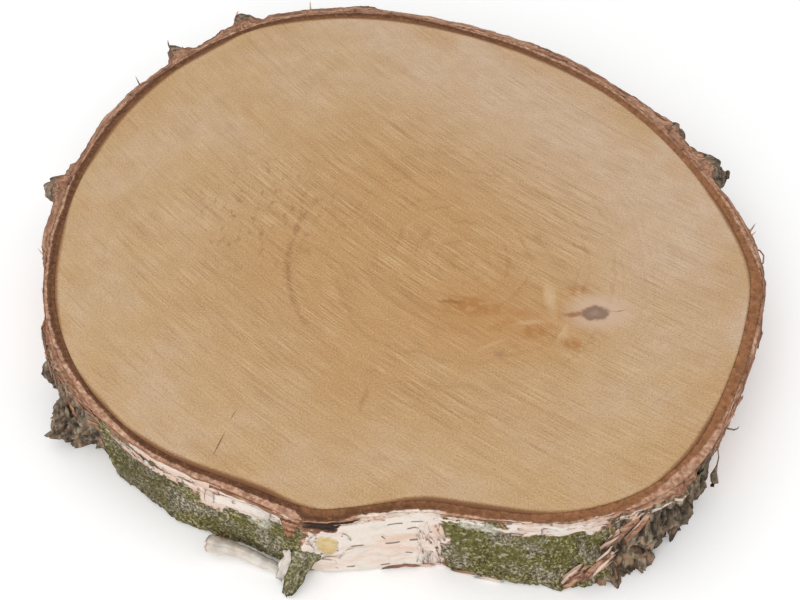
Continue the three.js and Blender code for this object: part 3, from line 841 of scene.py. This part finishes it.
def makeBarkMaterial(s):
    material, tree, shader = newMaterial("birchBark")
    place = inMillimetres(tree)
    share = addNode(tree, "ShaderNodeSeparateColor", {0: attribute(tree, "zone", "Color")}).outputs
    ragged = times(tree, calc(tree, "SUBTRACT", mottle(tree, place, 1.5, 0.25, 0.75), 0.5), 0.5)
    # paper, lichen and cork, with torn borders
    zone = [rangeOf(tree, calc(tree, "ADD", share[k], ragged), 0.36, 0.64) for k in range(3)]
    tone = attribute(tree, "tone")

    def toned(colour, grain, name):
        low, high, most, dark, pale = s[name]
        mask = rangeOf(tree, tone, low, high, 0.0, most)
        return blend(tree, mask, colour, between(tree, grain, dark, pale))

    # torn brown layers, which follow the strata over the edge
    sides = addNode(tree, "ShaderNodeSeparateXYZ", {0: place}).outputs
    laid = {0: sides[0], 1: sides[1], 2: attribute(tree, "strata")}
    laid = addNode(tree, "ShaderNodeCombineXYZ", laid).outputs[0]
    layered = mottle(tree, laid, (14.0, 14.0, 1.1), 0.28, 0.72)
    colour = ramp(tree, layered, s["layers"])
    colour = toned(colour, layered, "paleLayers")
    # painted shade in the cleft, where the tone is low
    colour = toned(colour, layered, "paintedShadeLayers")

    # white paper with pink and grey patches, the ochre scar and short dark lenticels
    paper = between(tree, mottle(tree, place, (16.0, 16.0, 5.0), 0.42, 0.66), s["paper"], s["paperPink"])
    paper = paint(tree, paper, s["paperGrey"], mottle(tree, place, (5.0, 5.0, 3.0), 0.52, 0.72), 0.5)
    paper = paint(tree, paper, s["paperBrown"], rangeOf(tree, tone, 0.2, 1.0, 0.0, 0.8))
    paper = toned(paper, mottle(tree, place, 3.0, 0.3, 0.7), "greyPaper")
    paper = toned(paper, mottle(tree, place, 2.5, 0.3, 0.7), "scar")
    flat = addNode(tree, "ShaderNodeUVMap", uv_map="barkUv").outputs[0]
    cells = vectors(tree, "MULTIPLY", flat, (100 / s["cellWidth"], 100 / s["cellHeight"], 0.0))
    dashes = addNode(tree, "ShaderNodeTexVoronoi", {"Vector": cells, "Scale": 1.0, "Randomness": 0.85},
                     voronoi_dimensions="2D").outputs
    offset = vectors(tree, "ABSOLUTE", vectors(tree, "SUBTRACT", cells, dashes["Position"]))
    parts = addNode(tree, "ShaderNodeSeparateXYZ", {0: offset}).outputs
    chance = addNode(tree, "ShaderNodeSeparateColor", {0: dashes["Color"]}).outputs
    past = calc(tree, "SUBTRACT", parts[0], rangeOf(tree, chance[0], 0.0, 1.0, 0.1, 0.26))
    dash = times(tree, rangeOf(tree, past, 0.03, -0.03), rangeOf(tree, parts[1], 0.09, 0.04))
    dash = times(tree, dash, rangeOf(tree, chance[1], 0.3, 0.35))
    dash = times(tree, dash, rangeOf(tree, tone, -0.5, -0.1))
    paper = paint(tree, paper, s["lenticel"], dash, 0.8)
    colour = blend(tree, zone[0], colour, paper)

    # moss and lichen crust
    crust = mottle(tree, place, 0.9, 0.28, 0.74)
    moss = blend(tree, mottle(tree, place, 9.0, 0.46, 0.6), ramp(tree, crust, s["moss"]),
                 ramp(tree, crust, s["greyCrust"]))
    moss = paint(tree, moss, s["olive"], mottle(tree, place, 11.0, 0.48, 0.6), 0.6)
    moss = paint(tree, moss, s["paleSpot"], mottle(tree, place, (1.7, 1.7, 1.3), 0.57, 0.64), 0.6)
    moss = toned(moss, crust, "darkMoss")
    moss = toned(moss, crust, "paleMoss")
    colour = blend(tree, zone[1], colour, moss)

    # fissured cork, with torn brown patches
    corky = mottle(tree, place, (1.5, 1.5, 5.0), 0.25, 0.75)
    cork = ramp(tree, corky, s["cork"])
    cork = paint(tree, cork, s["tornCork"], mottle(tree, place, (4.0, 4.0, 9.0), 0.5, 0.66), 0.7)
    cork = paint(tree, cork, s["mossyCork"], mottle(tree, place, 9.0, 0.54, 0.7), 0.5)
    cork = toned(cork, corky, "brownCork")
    cork = toned(cork, corky, "darkCork")
    colour = blend(tree, zone[2], colour, cork)

    colour = hollowShade(tree, colour, attribute(tree, "relief"), 0.62)
    roughness = rangeOf(tree, zone[0], 0.0, 1.0, 0.92, 0.66)
    fine = noiseAt(tree, place, 1.3, 4.0, 0.65)
    finishMaterial(tree, shader, colour, roughness, 0.25, fine, 0.55, 0.0007)
    return material


barkMaterial = makeBarkMaterial(barkLook)
wallStand, wallHeights = makeBarkWall(barkShape, barkMaterial)


# things that stand on the bark: plates, sheets, shreds and fibres

def standAt(share, height):
    i = int(round(share * len(wallStand))) % len(wallStand)
    row = np.interp(height, wallHeights[i], np.arange(wallHeights.shape[1]))
    return float(np.interp(row, np.arange(wallHeights.shape[1]), wallStand[i]))


def wallFrame(angle, height):   # a point on the bark with its outward, anticlockwise and up directions
    share = float(shareAt(angle))
    outward = np.append(rimAt(share)[1], 0.0)
    return outside(share, standAt(share, height), height), outward, np.array([-outward[1], outward[0], 0.0])


zoneOf = {"plain": (0, 0, 0, 1), "paper": (1, 0, 0, 1), "lichen": (0, 1, 0, 1), "cork": (0, 0, 1, 1)}


def addFlat(bm, front, back, kind, toneFront, toneBack, reliefShades):   # two sides that meet at their edge
    nA, nB = front.shape[:2]
    points = np.concatenate([front, back[:, ::-1]], axis=1)
    points[..., 2] = np.clip(points[..., 2], 0.05, thickness - 0.05)
    zones = np.broadcast_to(np.array(zoneOf[kind], float), points.shape[:2] + (4,))
    tones = np.concatenate([np.full((nA, nB), toneFront), np.full((nA, nB), toneBack)], axis=1)
    sides = np.concatenate([reliefShades, reliefShades[:, ::-1]], axis=1)
    uv = np.zeros(points.shape[:2] + (2,))   # no lenticels on loose pieces
    addGrid(bm, points, wrapV=True, uv=uv, layers={
        "zone": zones, "relief": sides, "tone": tones, "strata": points[..., 2]})


def drawn(rng, low, high, *shape):
    return np.array([rng.uniform(low, high) for _ in range(math.prod(shape))]).reshape(shape)


def addFlake(bm, rng, angle, height, length, width, spin, tilt, kind, tone, sink, thick):
    place, outward, sideways = wallFrame(angle, height)
    up = np.array([0, 0, 1.0])
    spin, tilt = math.radians(spin), math.radians(tilt)
    axis = math.cos(spin) * up + math.sin(spin) * sideways
    cross = math.cos(spin) * sideways - math.sin(spin) * up
    lean = math.cos(tilt) * axis + math.sin(tilt) * outward
    face = math.cos(tilt) * outward - math.sin(tilt) * axis
    middle = place + outward * (abs(math.sin(tilt)) * length / 2 - sink)
    a = np.linspace(-0.5, 0.5, 6)
    b = np.linspace(-0.5, 0.5, 4)
    half = width * (1 - 0.55 * np.abs(2 * a) ** 3) * (1 + drawn(rng, -0.3, 0.3, len(a)))
    slip = drawn(rng, -0.18, 0.18, len(a)) * width
    bow = rng.uniform(-0.25, 0.35) * length
    ragged = drawn(rng, -0.08, 0.08, len(a), len(b)) * length
    across = b[None, :] * half[:, None] + slip[:, None]
    out = bow * (a[:, None] ** 2 - 0.1) + 0.12 * width * np.cos(3 * b)[None, :]
    lumps = drawn(rng, -0.14, 0.14, len(a), len(b)) * thick
    middleLine = middle + lean * (a[:, None, None] * length + ragged[..., None])
    middleLine = middleLine + cross * across[..., None] + face * (out + lumps)[..., None]
    deep = (thick / 2 * (1 - np.abs(2 * a) ** 4))[:, None] * (1 - 0.5 * np.abs(2 * b) ** 2)[None, :]
    # painted shade at one end of each flake and painted highlight at the other, on top of its lumps
    reliefShades = np.broadcast_to(np.linspace(-0.7, 0.5, len(a))[:, None], deep.shape) + lumps
    away = face * deep[..., None]
    addFlat(bm, middleLine + away, middleLine - away, kind, tone, tone, reliefShades)


flakeDraws = ("angle", "height", "length", "width", "spin", "tilt", "tone")


def scatterFlakes(bm, rng, g):
    for _ in range(g["count"]):
        angle, height, length, width, spin, tilt, tone = [rng.uniform(*g[key]) for key in flakeDraws]
        addFlake(bm, rng, angle, height, length, width, spin, tilt, g["kind"], tone, g["sink"], g["thick"])


# what a ribbon has where its own settings don't say otherwise
ribbonUsual = {
    "steps": 14, "rows": 5, "stand": 0.3, "curl": 0.0, "roll": 0.0, "lean": 0.0, "slant": 0.0,
    "tip": 1.0, "ragged": 0.0, "wave": 0.15, "fray": 0.8, "thick": 0.35,
}


def addRibbon(bm, rng, own):   # a sheet that follows the bark and then curls away from it
    s = {"follow": own["length"] + 1, "topEnd": own["top"], "bottomEnd": own["bottom"], **ribbonUsual, **own}
    steps, way = s["steps"], s["way"]
    step = s["length"] / (steps - 1)
    share = float(shareAt(s["root"]))
    heightMid = (s["bottom"] + s["top"]) / 2
    path, normals = [], []
    heading = None
    for k in range(steps):
        run = k * step
        if run <= s["follow"] or heading is None:
            here = share + way * run / rimLength
            point, outward = rimAt(here)
            spot = (point + outward * (standAt(here, heightMid) + s["stand"])) * taperAt(heightMid)
            heading = way * np.array([-outward[1], outward[0]])
        else:
            loose = max(0, (run - s["follow"]) / s["length"])
            turn = -way * step * (s["curl"] + s["roll"] * loose ** 2)
            heading = np.array([heading[0] * math.cos(turn) - heading[1] * math.sin(turn),
                                heading[0] * math.sin(turn) + heading[1] * math.cos(turn)])
            spot = path[-1] + heading * step
        path.append(spot)
        normals.append(way * np.array([heading[1], -heading[0]]))
    path, normals = np.array(path), np.array(normals)
    t = np.linspace(0, 1, steps)
    b = np.linspace(0, 1, s["rows"])
    frayTop, frayLow = drawn(rng, 0, 1, 2, steps) * s["fray"]
    top = s["top"] + (s["topEnd"] - s["top"]) * t - frayTop
    low = s["bottom"] + (s["bottomEnd"] - s["bottom"]) * t + frayLow
    heights = low[:, None] + (top - low)[:, None] * b[None, :]
    narrow = s["tip"] + (1 - s["tip"]) * b ** 0.8
    narrow = narrow * (1 + drawn(rng, -1, 1, s["rows"]) * s["ragged"])
    middle = path.mean(axis=0)
    flat = middle + (path[:, None, :] - middle) * narrow[None, :, None]
    wave = drawn(rng, -1, 1, steps, s["rows"]) * s["wave"]
    off = s["lean"] * (1 - b[None, :]) ** 1.5 + wave
    flat = flat + normals[:, None, :] * off[..., None]
    along = way * np.stack([-normals[:, 1], normals[:, 0]], axis=-1)
    flat = flat + along[:, None, :] * (s["slant"] * (1 - b))[None, :, None]
    front = np.concatenate([flat, heights[..., None]], axis=-1)
    thin = s["thick"] * (1 - np.abs(2 * t - 1) ** 8)[:, None, None]
    inward = np.concatenate([normals, np.zeros((steps, 1))], axis=1)[:, None, :]
    # painted shade at the ribbon's root end and painted highlight towards its free end, with its wave
    reliefShades = np.broadcast_to(np.linspace(-0.35, 0.35, steps)[:, None], off.shape) + wave * 0.8
    addFlat(bm, front, front - inward * thin, s["kind"], s["tone"], min(1.0, s["tone"] + 0.5), reliefShades)


def addRoll(bm, rng, s):   # a sheet rolled into a loose tube along the foot of the bark
    t = np.linspace(0, 1, s["steps"])[:, None]
    turn = np.linspace(s["phase"], s["phase"] + s["turns"] * 2 * math.pi, s["rows"])[None, :]
    ends = drawn(rng, 0, 1, 1, s["rows"]) * s["fray"] / rimLength
    first, last = float(shareAt(s["from"])), float(shareAt(s["to"]))
    shares = first + (last - first) * t + np.sign(last - first) * ends * t ** 3

    def from0to1(pair):
        return pair[0] + (pair[1] - pair[0]) * t

    radius = from0to1(s["radius"]) * (1 - 0.14 * (turn - s["phase"]) / (2 * math.pi))
    radius = radius * (1 + 0.06 * np.sin(9 * t + 2 * turn))
    rest = np.array([standAt(share, s["height"][0]) for share in shares[:, 0]])[:, None]

    def skin(inset):
        stand = rest + from0to1(s["stand"]) + (radius - inset) * np.cos(turn)
        return outside(shares, stand, from0to1(s["height"]) + (radius - inset) * 0.8 * np.sin(turn))

    thin = 0.3 * (1 - np.abs(2 * t - 1) ** 10)
    addFlat(bm, skin(0), skin(thin), "paper", s["tone"], s["tone"] + 0.4, np.zeros(radius.shape))


def addTube(bm, spots, radii, kind, tone, flatness=1.0):
    spots = np.array(spots)
    ahead = unit(np.gradient(spots, axis=0))
    sideA = unit(np.cross(ahead, (0.31, 0.22, 0.93)))   # any direction that no tube follows
    sideB = np.cross(ahead, sideA)
    turns = np.arange(5) / 5 * 2 * math.pi
    ring = np.cos(turns)[None, :, None] * sideA[:, None]
    ring = ring + flatness * np.sin(turns)[None, :, None] * sideB[:, None]
    points = spots[:, None] + ring * np.array(radii)[:, None, None]
    points[..., 2] = np.maximum(points[..., 2], 0.05)
    shape = points.shape[:2]
    zones = np.broadcast_to(np.array(zoneOf[kind], float), shape + (4,))
    addGrid(bm, points, wrapV=True, uv=np.zeros(shape + (2,)), layers={
        "zone": zones, "relief": np.zeros(shape), "tone": np.full(shape, tone), "strata": points[..., 2]})


def alongWall(places):   # angle, stand off the bark and height for each point
    spots = []
    for angle, stand, height in places:
        place, outward, _ = wallFrame(angle, min(height, 28))
        spots.append(np.append((place + outward * stand)[:2], height))
    return spots


def addFibre(bm, rng, angle, height, length, radius, rise, sway, kind, tone):
    place, outward, sideways = wallFrame(angle, height)
    heading = outward + np.array([0, 0, rise]) + sideways * sway
    heading = heading / np.linalg.norm(heading)
    bend = drawn(rng, -1, 1, 3) * 0.12
    spots = [place - heading * 0.8]
    for _ in range(7):
        heading = heading + bend + drawn(rng, -0.1, 0.1, 3)
        heading = heading / np.linalg.norm(heading)
        spots.append(spots[-1] + heading * (length + 0.8) / 7)
    addTube(bm, spots, radius * (1 - np.linspace(0, 1, 8) ** 3), kind, tone)


# shards of cork: angle and height they gather in, how many, sizes, spin, tilt, kind and tones
corkShards = {
    "seed": 11,
    "groups": [
        {"angle": (-61, -44), "height": (4, 15), "count": 18, "length": (8, 13), "width": (2.4, 4.2),
         "spin": (-8, 20), "tilt": (-4, 5), "kind": "cork", "tone": (-0.45, 0.5), "sink": 1.0,
         "thick": 1.3},
        {"angle": (-156, -146), "height": (5, 15), "count": 14, "length": (7, 11), "width": (2.4, 4.2),
         "spin": (-14, 10), "tilt": (-5, 4), "kind": "cork", "tone": (-0.3, 0.8), "sink": 1.5,
         "thick": 1.3},
        {"angle": (12, 29), "height": (4, 22), "count": 20, "length": (5, 9), "width": (2, 3.6),
         "spin": (-25, 25), "tilt": (-6, 8), "kind": "cork", "tone": (0.1, 0.8), "sink": 0.7, "thick": 1.2},
        {"angle": (138, 154), "height": (5, 20), "count": 18, "length": (7, 12), "width": (2.4, 4.2),
         "spin": (-20, 20), "tilt": (-6, 8), "kind": "cork", "tone": (0.0, 0.7), "sink": 0.8, "thick": 1.3},
        {"angle": (58, 66), "height": (5, 21), "count": 12, "length": (7, 12), "width": (2.4, 4.2),
         "spin": (-20, 20), "tilt": (-6, 8), "kind": "cork", "tone": (0.0, 0.7), "sink": 0.8, "thick": 1.3},
        {"angle": (-42, -35), "height": (25.5, 28.8), "count": 9, "length": (5, 10), "width": (0.8, 1.5),
         "spin": (72, 104), "tilt": (-3, 8), "kind": "plain", "tone": (0.6, 1.0), "sink": 0.25,
         "thick": 0.6},
        {"angle": (-159, -143), "height": (25.5, 28.8), "count": 11, "length": (5, 10), "width": (0.8, 1.5),
         "spin": (76, 104), "tilt": (-3, 8), "kind": "plain", "tone": (0.5, 1.0), "sink": 0.25,
         "thick": 0.6},
        {"angle": (-148.5, -145.5), "height": (16, 24), "count": 9, "length": (7, 11), "width": (0.7, 1.2),
         "spin": (-20, 14), "tilt": (-4, 8), "kind": "plain", "tone": (0.1, 0.6), "sink": 0.1,
         "thick": 0.6},
    ],
    # the torn strand that runs down across the near right corner
    "strand": {"from": (-59.5, 24.0), "to": (-67.0, 2.5), "count": 46, "length": (9, 15),
               "width": (0.9, 2.2), "spin": (31, 46), "tilt": (-4, 4), "tone": (0.55, 1.0),
               "strayAngle": 0.7, "strayHeight": 1.0, "sink": -0.8, "thick": 0.7},
    "singleSink": 0.0, "singleThick": 0.4,
    # angle, height, length, width, spin, tilt, kind and tone: the plate at the strand's top, the oval plate
    # of lichen and the splinters round the scar
    "single": [(-59.5, 24.0, 8.0, 4.4, 50, 4, "plain", 1.0), (-47.6, 21.0, 8.5, 4.4, 4, 3, "lichen", -0.15),
               (-102.5, 19.5, 6.0, 0.9, 30, 8, "paper", 0.1), (-102.6, 14.6, 6.4, 0.9, -30, 8, "paper", 0.2),
               (-102.3, 17.0, 5.0, 0.8, 12, 10, "paper", 0.0), (-98.2, 20.4, 5.2, 1.0, -30, 8, "paper", 0.1),
               (-98.3, 12.0, 6.6, 1.0, 40, 6, "paper", 0.2), (-100.6, 10.0, 6.0, 1.0, 82, 6, "paper", 0.4)],
}


def makeCorkShards(s):
    rng = random.Random(s["seed"])
    bm = startBark()
    for g in s["groups"]:
        scatterFlakes(bm, rng, g)
    r = s["strand"]
    for k in range(r["count"]):
        t = (k + rng.random()) / r["count"]
        angle = r["from"][0] + (r["to"][0] - r["from"][0]) * t
        angle += rng.uniform(-r["strayAngle"], r["strayAngle"])
        height = r["from"][1] + (r["to"][1] - r["from"][1]) * t
        height += rng.uniform(-r["strayHeight"], r["strayHeight"])
        length, width, spin, tilt = [rng.uniform(*r[key]) for key in ("length", "width", "spin", "tilt")]
        kind = rng.choice(("plain", "paper"))
        tone = rng.uniform(*r["tone"])
        addFlake(bm, rng, angle, height, length, width, spin, tilt, kind, tone, r["sink"], r["thick"])
    for flake in s["single"]:
        addFlake(bm, rng, *flake, s["singleSink"], s["singleThick"])
    finishMesh(bm, "cork_shards", barkMaterial)


makeCorkShards(corkShards)

# sheets that have come loose, and shreds along the torn upper edge
looseSheets = {
    "seed": 23,
    "roll": {"from": -105.8, "to": -118.2, "steps": 26, "rows": 22, "turns": 1.35, "phase": 1.2,
             "radius": (1.7, 3.4), "stand": (3.1, 5.3), "height": (2.0, 4.4), "fray": 0.9, "tone": -0.16},
    "sheets": [
        {"root": -101.2, "way": -1, "length": 8, "bottom": 0.2, "top": 13, "stand": 0.2, "lean": 10.2,
         "tip": 0.08, "slant": 5.2, "kind": "lichen", "tone": -0.16, "steps": 11, "rows": 11, "wave": 0.6,
         "thick": 0.6, "fray": 1.6, "ragged": 0.2},
        {"root": -103.6, "way": -1, "length": 6, "bottom": 2.0, "top": 11, "stand": 0.2, "lean": 6.6,
         "tip": 0.15, "slant": 3.0, "kind": "paper", "tone": -0.1, "steps": 9, "rows": 9, "wave": 0.5,
         "fray": 1.6, "ragged": 0.25},
        {"root": -103.6, "way": -1, "length": 7, "bottom": 20.5, "top": 29.2, "follow": 6, "lean": 2.2,
         "tip": 0.12, "kind": "plain", "tone": 0.1, "rows": 8, "wave": 0.3},
        {"root": -106.0, "way": -1, "length": 26, "bottom": 28.4, "top": 29.6, "stand": 0.2, "lean": 0.4,
         "kind": "plain", "tone": 0.25, "steps": 18, "rows": 4, "fray": 0.6},
        {"root": -108.0, "way": -1, "length": 21, "bottom": 24.2, "top": 28.2, "bottomEnd": 21.0,
         "topEnd": 25.5, "lean": 0.9, "kind": "paper", "tone": 0.1, "steps": 16},
        {"root": 42.5, "way": -1, "length": 28, "bottom": 20, "top": 29.4, "stand": 0.4, "follow": 8,
         "curl": 0.006, "kind": "plain", "tone": 0.6, "steps": 18, "rows": 6, "thick": 1.1},
        {"root": 84, "way": 1, "length": 26, "bottom": 4, "top": 21, "stand": 0.4, "follow": 15,
         "curl": -0.02, "roll": 1.6, "kind": "paper", "tone": 0.05, "steps": 24, "rows": 9},
        {"root": 159, "way": -1, "length": 19, "bottom": 8, "top": 25, "stand": 0.4, "follow": 12,
         "curl": -0.02, "roll": 1.4, "kind": "paper", "tone": 0.15, "steps": 18, "rows": 9},
        {"root": -70.5, "way": 1, "length": 19, "bottom": 25.0, "top": 28.8, "bottomEnd": 25.4,
         "topEnd": 27.0, "kind": "paper", "tone": 0.1, "steps": 16, "rows": 6},
        {"root": 66, "way": 1, "length": 16, "bottom": 10, "top": 22, "stand": 0.4, "follow": 10,
         "curl": -0.02, "roll": 1.4, "kind": "paper", "tone": 0.1, "steps": 16, "rows": 8},
    ],
    "shredUsual": {"stand": 0.05, "steps": 9, "rows": 4, "fray": 0.9, "thick": 0.4, "wave": 0.12},
    # angle range, count, height, depth, length, kind and tones of the shreds
    "shreds": [
        ((-180, -138), 30, (26, 29.2), (1.0, 2.2), (7, 16), "plain", (0.5, 1.0)),
        ((-138, -106), 20, (23, 29), (1.2, 3), (8, 17), "paper", (0.2, 0.9)),
        ((-98, -82), 8, (27, 29.2), (0.8, 1.6), (6, 12), "paper", (0.3, 0.8)),
        ((-82, -56), 16, (26, 29.2), (0.9, 2.2), (8, 18), "paper", (0.0, 0.7)),
        ((-40, 12), 40, (14, 29.2), (1.5, 4), (8, 20), "plain", (0.2, 1.0)),
        ((30, 100), 26, (3, 29), (1.5, 5), (8, 18), "plain", (0.0, 0.8)),
        ((100, 180), 26, (3, 29), (1.5, 5), (8, 18), "plain", (0.1, 0.9)),
    ],
    # short upright shreds in the frayed band beside the front's paper
    "frayed": {"angle": (-87.2, -83.2), "height": (5, 23), "count": 24, "length": (6, 12),
               "width": (0.7, 1.4), "spin": (-22, 6), "tilt": (-2, 1), "kind": "paper", "tone": (0.0, 0.5),
               "sink": 0.12, "thick": 0.16},
    "footWidth": 1.5, "footSpin": 88, "footTilt": 3, "footSink": 0.1, "footThick": 0.4,
    # ragged strips at the foot: angle, height, length, kind and tone
    "foot": [(-90.3, 1.2, 12, "plain", 0.8), (-86.4, 1.0, 8, "paper", 0.7), (-79.5, 1.0, 9, "plain", 0.8),
             (-76.0, 0.9, 9, "paper", 0.6)],
}


def makeLooseSheets(s):
    rng = random.Random(s["seed"])
    bm = startBark()
    addRoll(bm, rng, s["roll"])
    for sheet in s["sheets"]:
        addRibbon(bm, rng, sheet)
    for angles, count, heights, depths, lengths, kind, tones in s["shreds"]:
        for _ in range(count):
            top = rng.uniform(*heights) + 0.4
            length = rng.uniform(*lengths)
            addRibbon(bm, rng, {
                "root": rng.uniform(*angles), "way": rng.choice((-1, 1)), "length": length, "top": top,
                "bottom": max(0.5, top - rng.uniform(*depths)), "follow": length * rng.uniform(0.6, 1.0),
                "curl": rng.uniform(0.0, 0.03), "kind": kind, "tone": rng.uniform(*tones),
                **s["shredUsual"]})
    scatterFlakes(bm, rng, s["frayed"])
    for angle, height, length, kind, tone in s["foot"]:
        addFlake(bm, rng, angle, height, length, s["footWidth"], s["footSpin"], s["footTilt"], kind, tone,
                 s["footSink"], s["footThick"])
    finishMesh(bm, "loose_sheets", barkMaterial)


makeLooseSheets(looseSheets)

# fibres and whiskers: angle, height, length, radius, rise, sway, kind and tone
fibres = {
    "seed": 5,
    "single": [
        (106.5, 28, 5, 0.4, 0.5, 0.2, "paper", 0.8), (118.5, 28, 5, 0.4, 0.6, -0.3, "paper", 0.6),
        (117.0, 27, 4, 0.4, 0.3, 0.4, "cork", 0.3), (131, 27, 5, 0.45, 0.5, 0.3, "cork", 0.3),
        (132.2, 26, 4, 0.4, 0.2, 0.6, "paper", 0.6), (129.8, 27, 4, 0.4, 0.6, -0.4, "cork", 0.8),
        (141.5, 28, 5, 0.3, 0.6, -0.3, "cork", 0.3), (-176, 25, 4, 0.18, 0.2, -0.6, "plain", 1.0),
        (-170, 23, 3, 0.2, 0.1, 0.4, "cork", 0.2), (-149.6, 9, 4, 0.6, 0.2, 0.3, "cork", 0.8),
        (-0.6, 27, 6, 0.4, 0.6, 0.5, "plain", 0.9), (-1.2, 27, 4, 0.25, 0.2, 0.2, "plain", 1.0),
        (-118, 3, 4, 0.5, -0.1, -0.5, "plain", 0.4), (-117, 4, 3, 0.4, 0.3, -0.5, "plain", 0.3),
        (-62, 28, 5, 0.25, 0.3, -1.4, "plain", 1.0),
    ],
    "scattered": 16,   # within these limits of angle, height, length, radius, rise, sway and tone
    "scatteredLimits": [(-180, 180), (12, 28), (2, 3.5), (0.12, 0.2), (-0.3, 0.3), (-1.8, 1.8), (0.6, 1.0)],
    # angle, stand off the bark and height: the loop, the hook and the drop on its strand
    "loop": [(-3.6, -0.6, 27), (-4.3, 1.4, 27.6), (-5.4, 2.2, 27.4), (-6.6, 1.4, 26.8), (-7.3, -0.6, 26)],
    "hook": [(-39.8, -0.6, 26), (-39.6, 1.2, 25.6), (-39.3, 2.4, 25.2), (-38.9, 3.2, 25.2),
             (-38.5, 3.6, 25.6)],
    "drop": [(-43.2, -0.8, 26.5), (-43.4, 1.0, 26.0), (-43.8, 2.4, 23.5), (-44.1, 2.9, 20.5),
             (-44.3, 3.1, 18.5), (-44.6, 3.3, 16.5), (-44.9, 3.4, 14.5), (-45.1, 3.3, 12.8),
             (-45.2, 3.2, 12.0)],
    "loopRadii": [0.35, 0.32, 0.3, 0.32, 0.35],
    "hookRadii": [0.4, 0.36, 0.3, 0.22, 0.04],
    "dropRadii": [0.3, 0.26, 0.24, 0.24, 0.7, 1.35, 1.5, 0.9, 0.05],
}


def makeFibres(s):
    rng = random.Random(s["seed"])
    bm = startBark()
    for fibre in s["single"]:
        addFibre(bm, rng, *fibre)
    for _ in range(s["scattered"]):
        *shape, tone = [rng.uniform(*limits) for limits in s["scatteredLimits"]]
        addFibre(bm, rng, *shape, "plain", tone)
    addTube(bm, alongWall(s["loop"]), s["loopRadii"], "plain", 0.8)
    addTube(bm, alongWall(s["hook"]), s["hookRadii"], "cork", 0.4)
    addTube(bm, alongWall(s["drop"]), s["dropRadii"], "cork", -0.1, 0.9)
    finishMesh(bm, "fibres", barkMaterial)


makeFibres(fibres)


# camera, floor and light

stageLook = {
    "lens": 70.0, "sensor": 36.0, "target": (0.0, -0.0338, 0.03), "distance": 0.530, "elevation": 48.0,
    "floorRadius": 6.0, "floor": 0.95, "floorGlow": 0.12, "world": 0.72,
    "lamps": [("overhead", (-0.25, 0.1, 1.3), 1.2, 3.0), ("front", (-0.3, -1.25, 0.75), 0.9, 7.5)],
    "lit": (0, -0.03, 0.02),   # where both lamps point
}


def makeStage(s):
    view = bpy.data.cameras.new("view")
    view.lens = s["lens"]
    view.sensor_width = s["sensor"]
    view.clip_end = 50.0
    camera = bpy.data.objects.new("view", view)
    lean = math.radians(s["elevation"])
    camera.location = Vector(s["target"]) + s["distance"] * Vector((0, -math.cos(lean), math.sin(lean)))
    camera.rotation_euler = (math.radians(90) - lean, 0, 0)
    scene.collection.objects.link(camera)
    scene.camera = camera

    bm = bmesh.new()
    bmesh.ops.create_circle(bm, cap_ends=True, radius=s["floorRadius"], segments=64)
    mesh = bpy.data.meshes.new("floor")
    bm.to_mesh(mesh)
    bm.free()
    material, tree, shader = newMaterial("paleFloor")
    feed(tree, shader, {"Base Color": (s["floor"],) * 3 + (1.0,), "Roughness": 0.9,
                        "Emission Color": (1, 1, 1, 1), "Emission Strength": s["floorGlow"]})
    mesh.materials.append(material)
    floor = bpy.data.objects.new("floor", mesh)
    scene.collection.objects.link(floor)

    world = bpy.data.worlds.new("softRoom")
    world.use_nodes = True
    feed(world.node_tree, world.node_tree.nodes["Background"], {0: (1, 1, 1, 1), 1: s["world"]})
    scene.world = world
    for name, place, size, power in s["lamps"]:
        lamp = bpy.data.lights.new(name, "AREA")
        lamp.size = size
        lamp.energy = power
        lampObject = bpy.data.objects.new(name, lamp)
        lampObject.location = place
        toSlice = Vector(s["lit"]) - Vector(place)
        lampObject.rotation_euler = toSlice.to_track_quat("-Z", "Y").to_euler()
        scene.collection.objects.link(lampObject)
    scene.view_settings.view_transform = "Standard"
    scene.view_settings.look = "None"


makeStage(stageLook)
print("stage set")
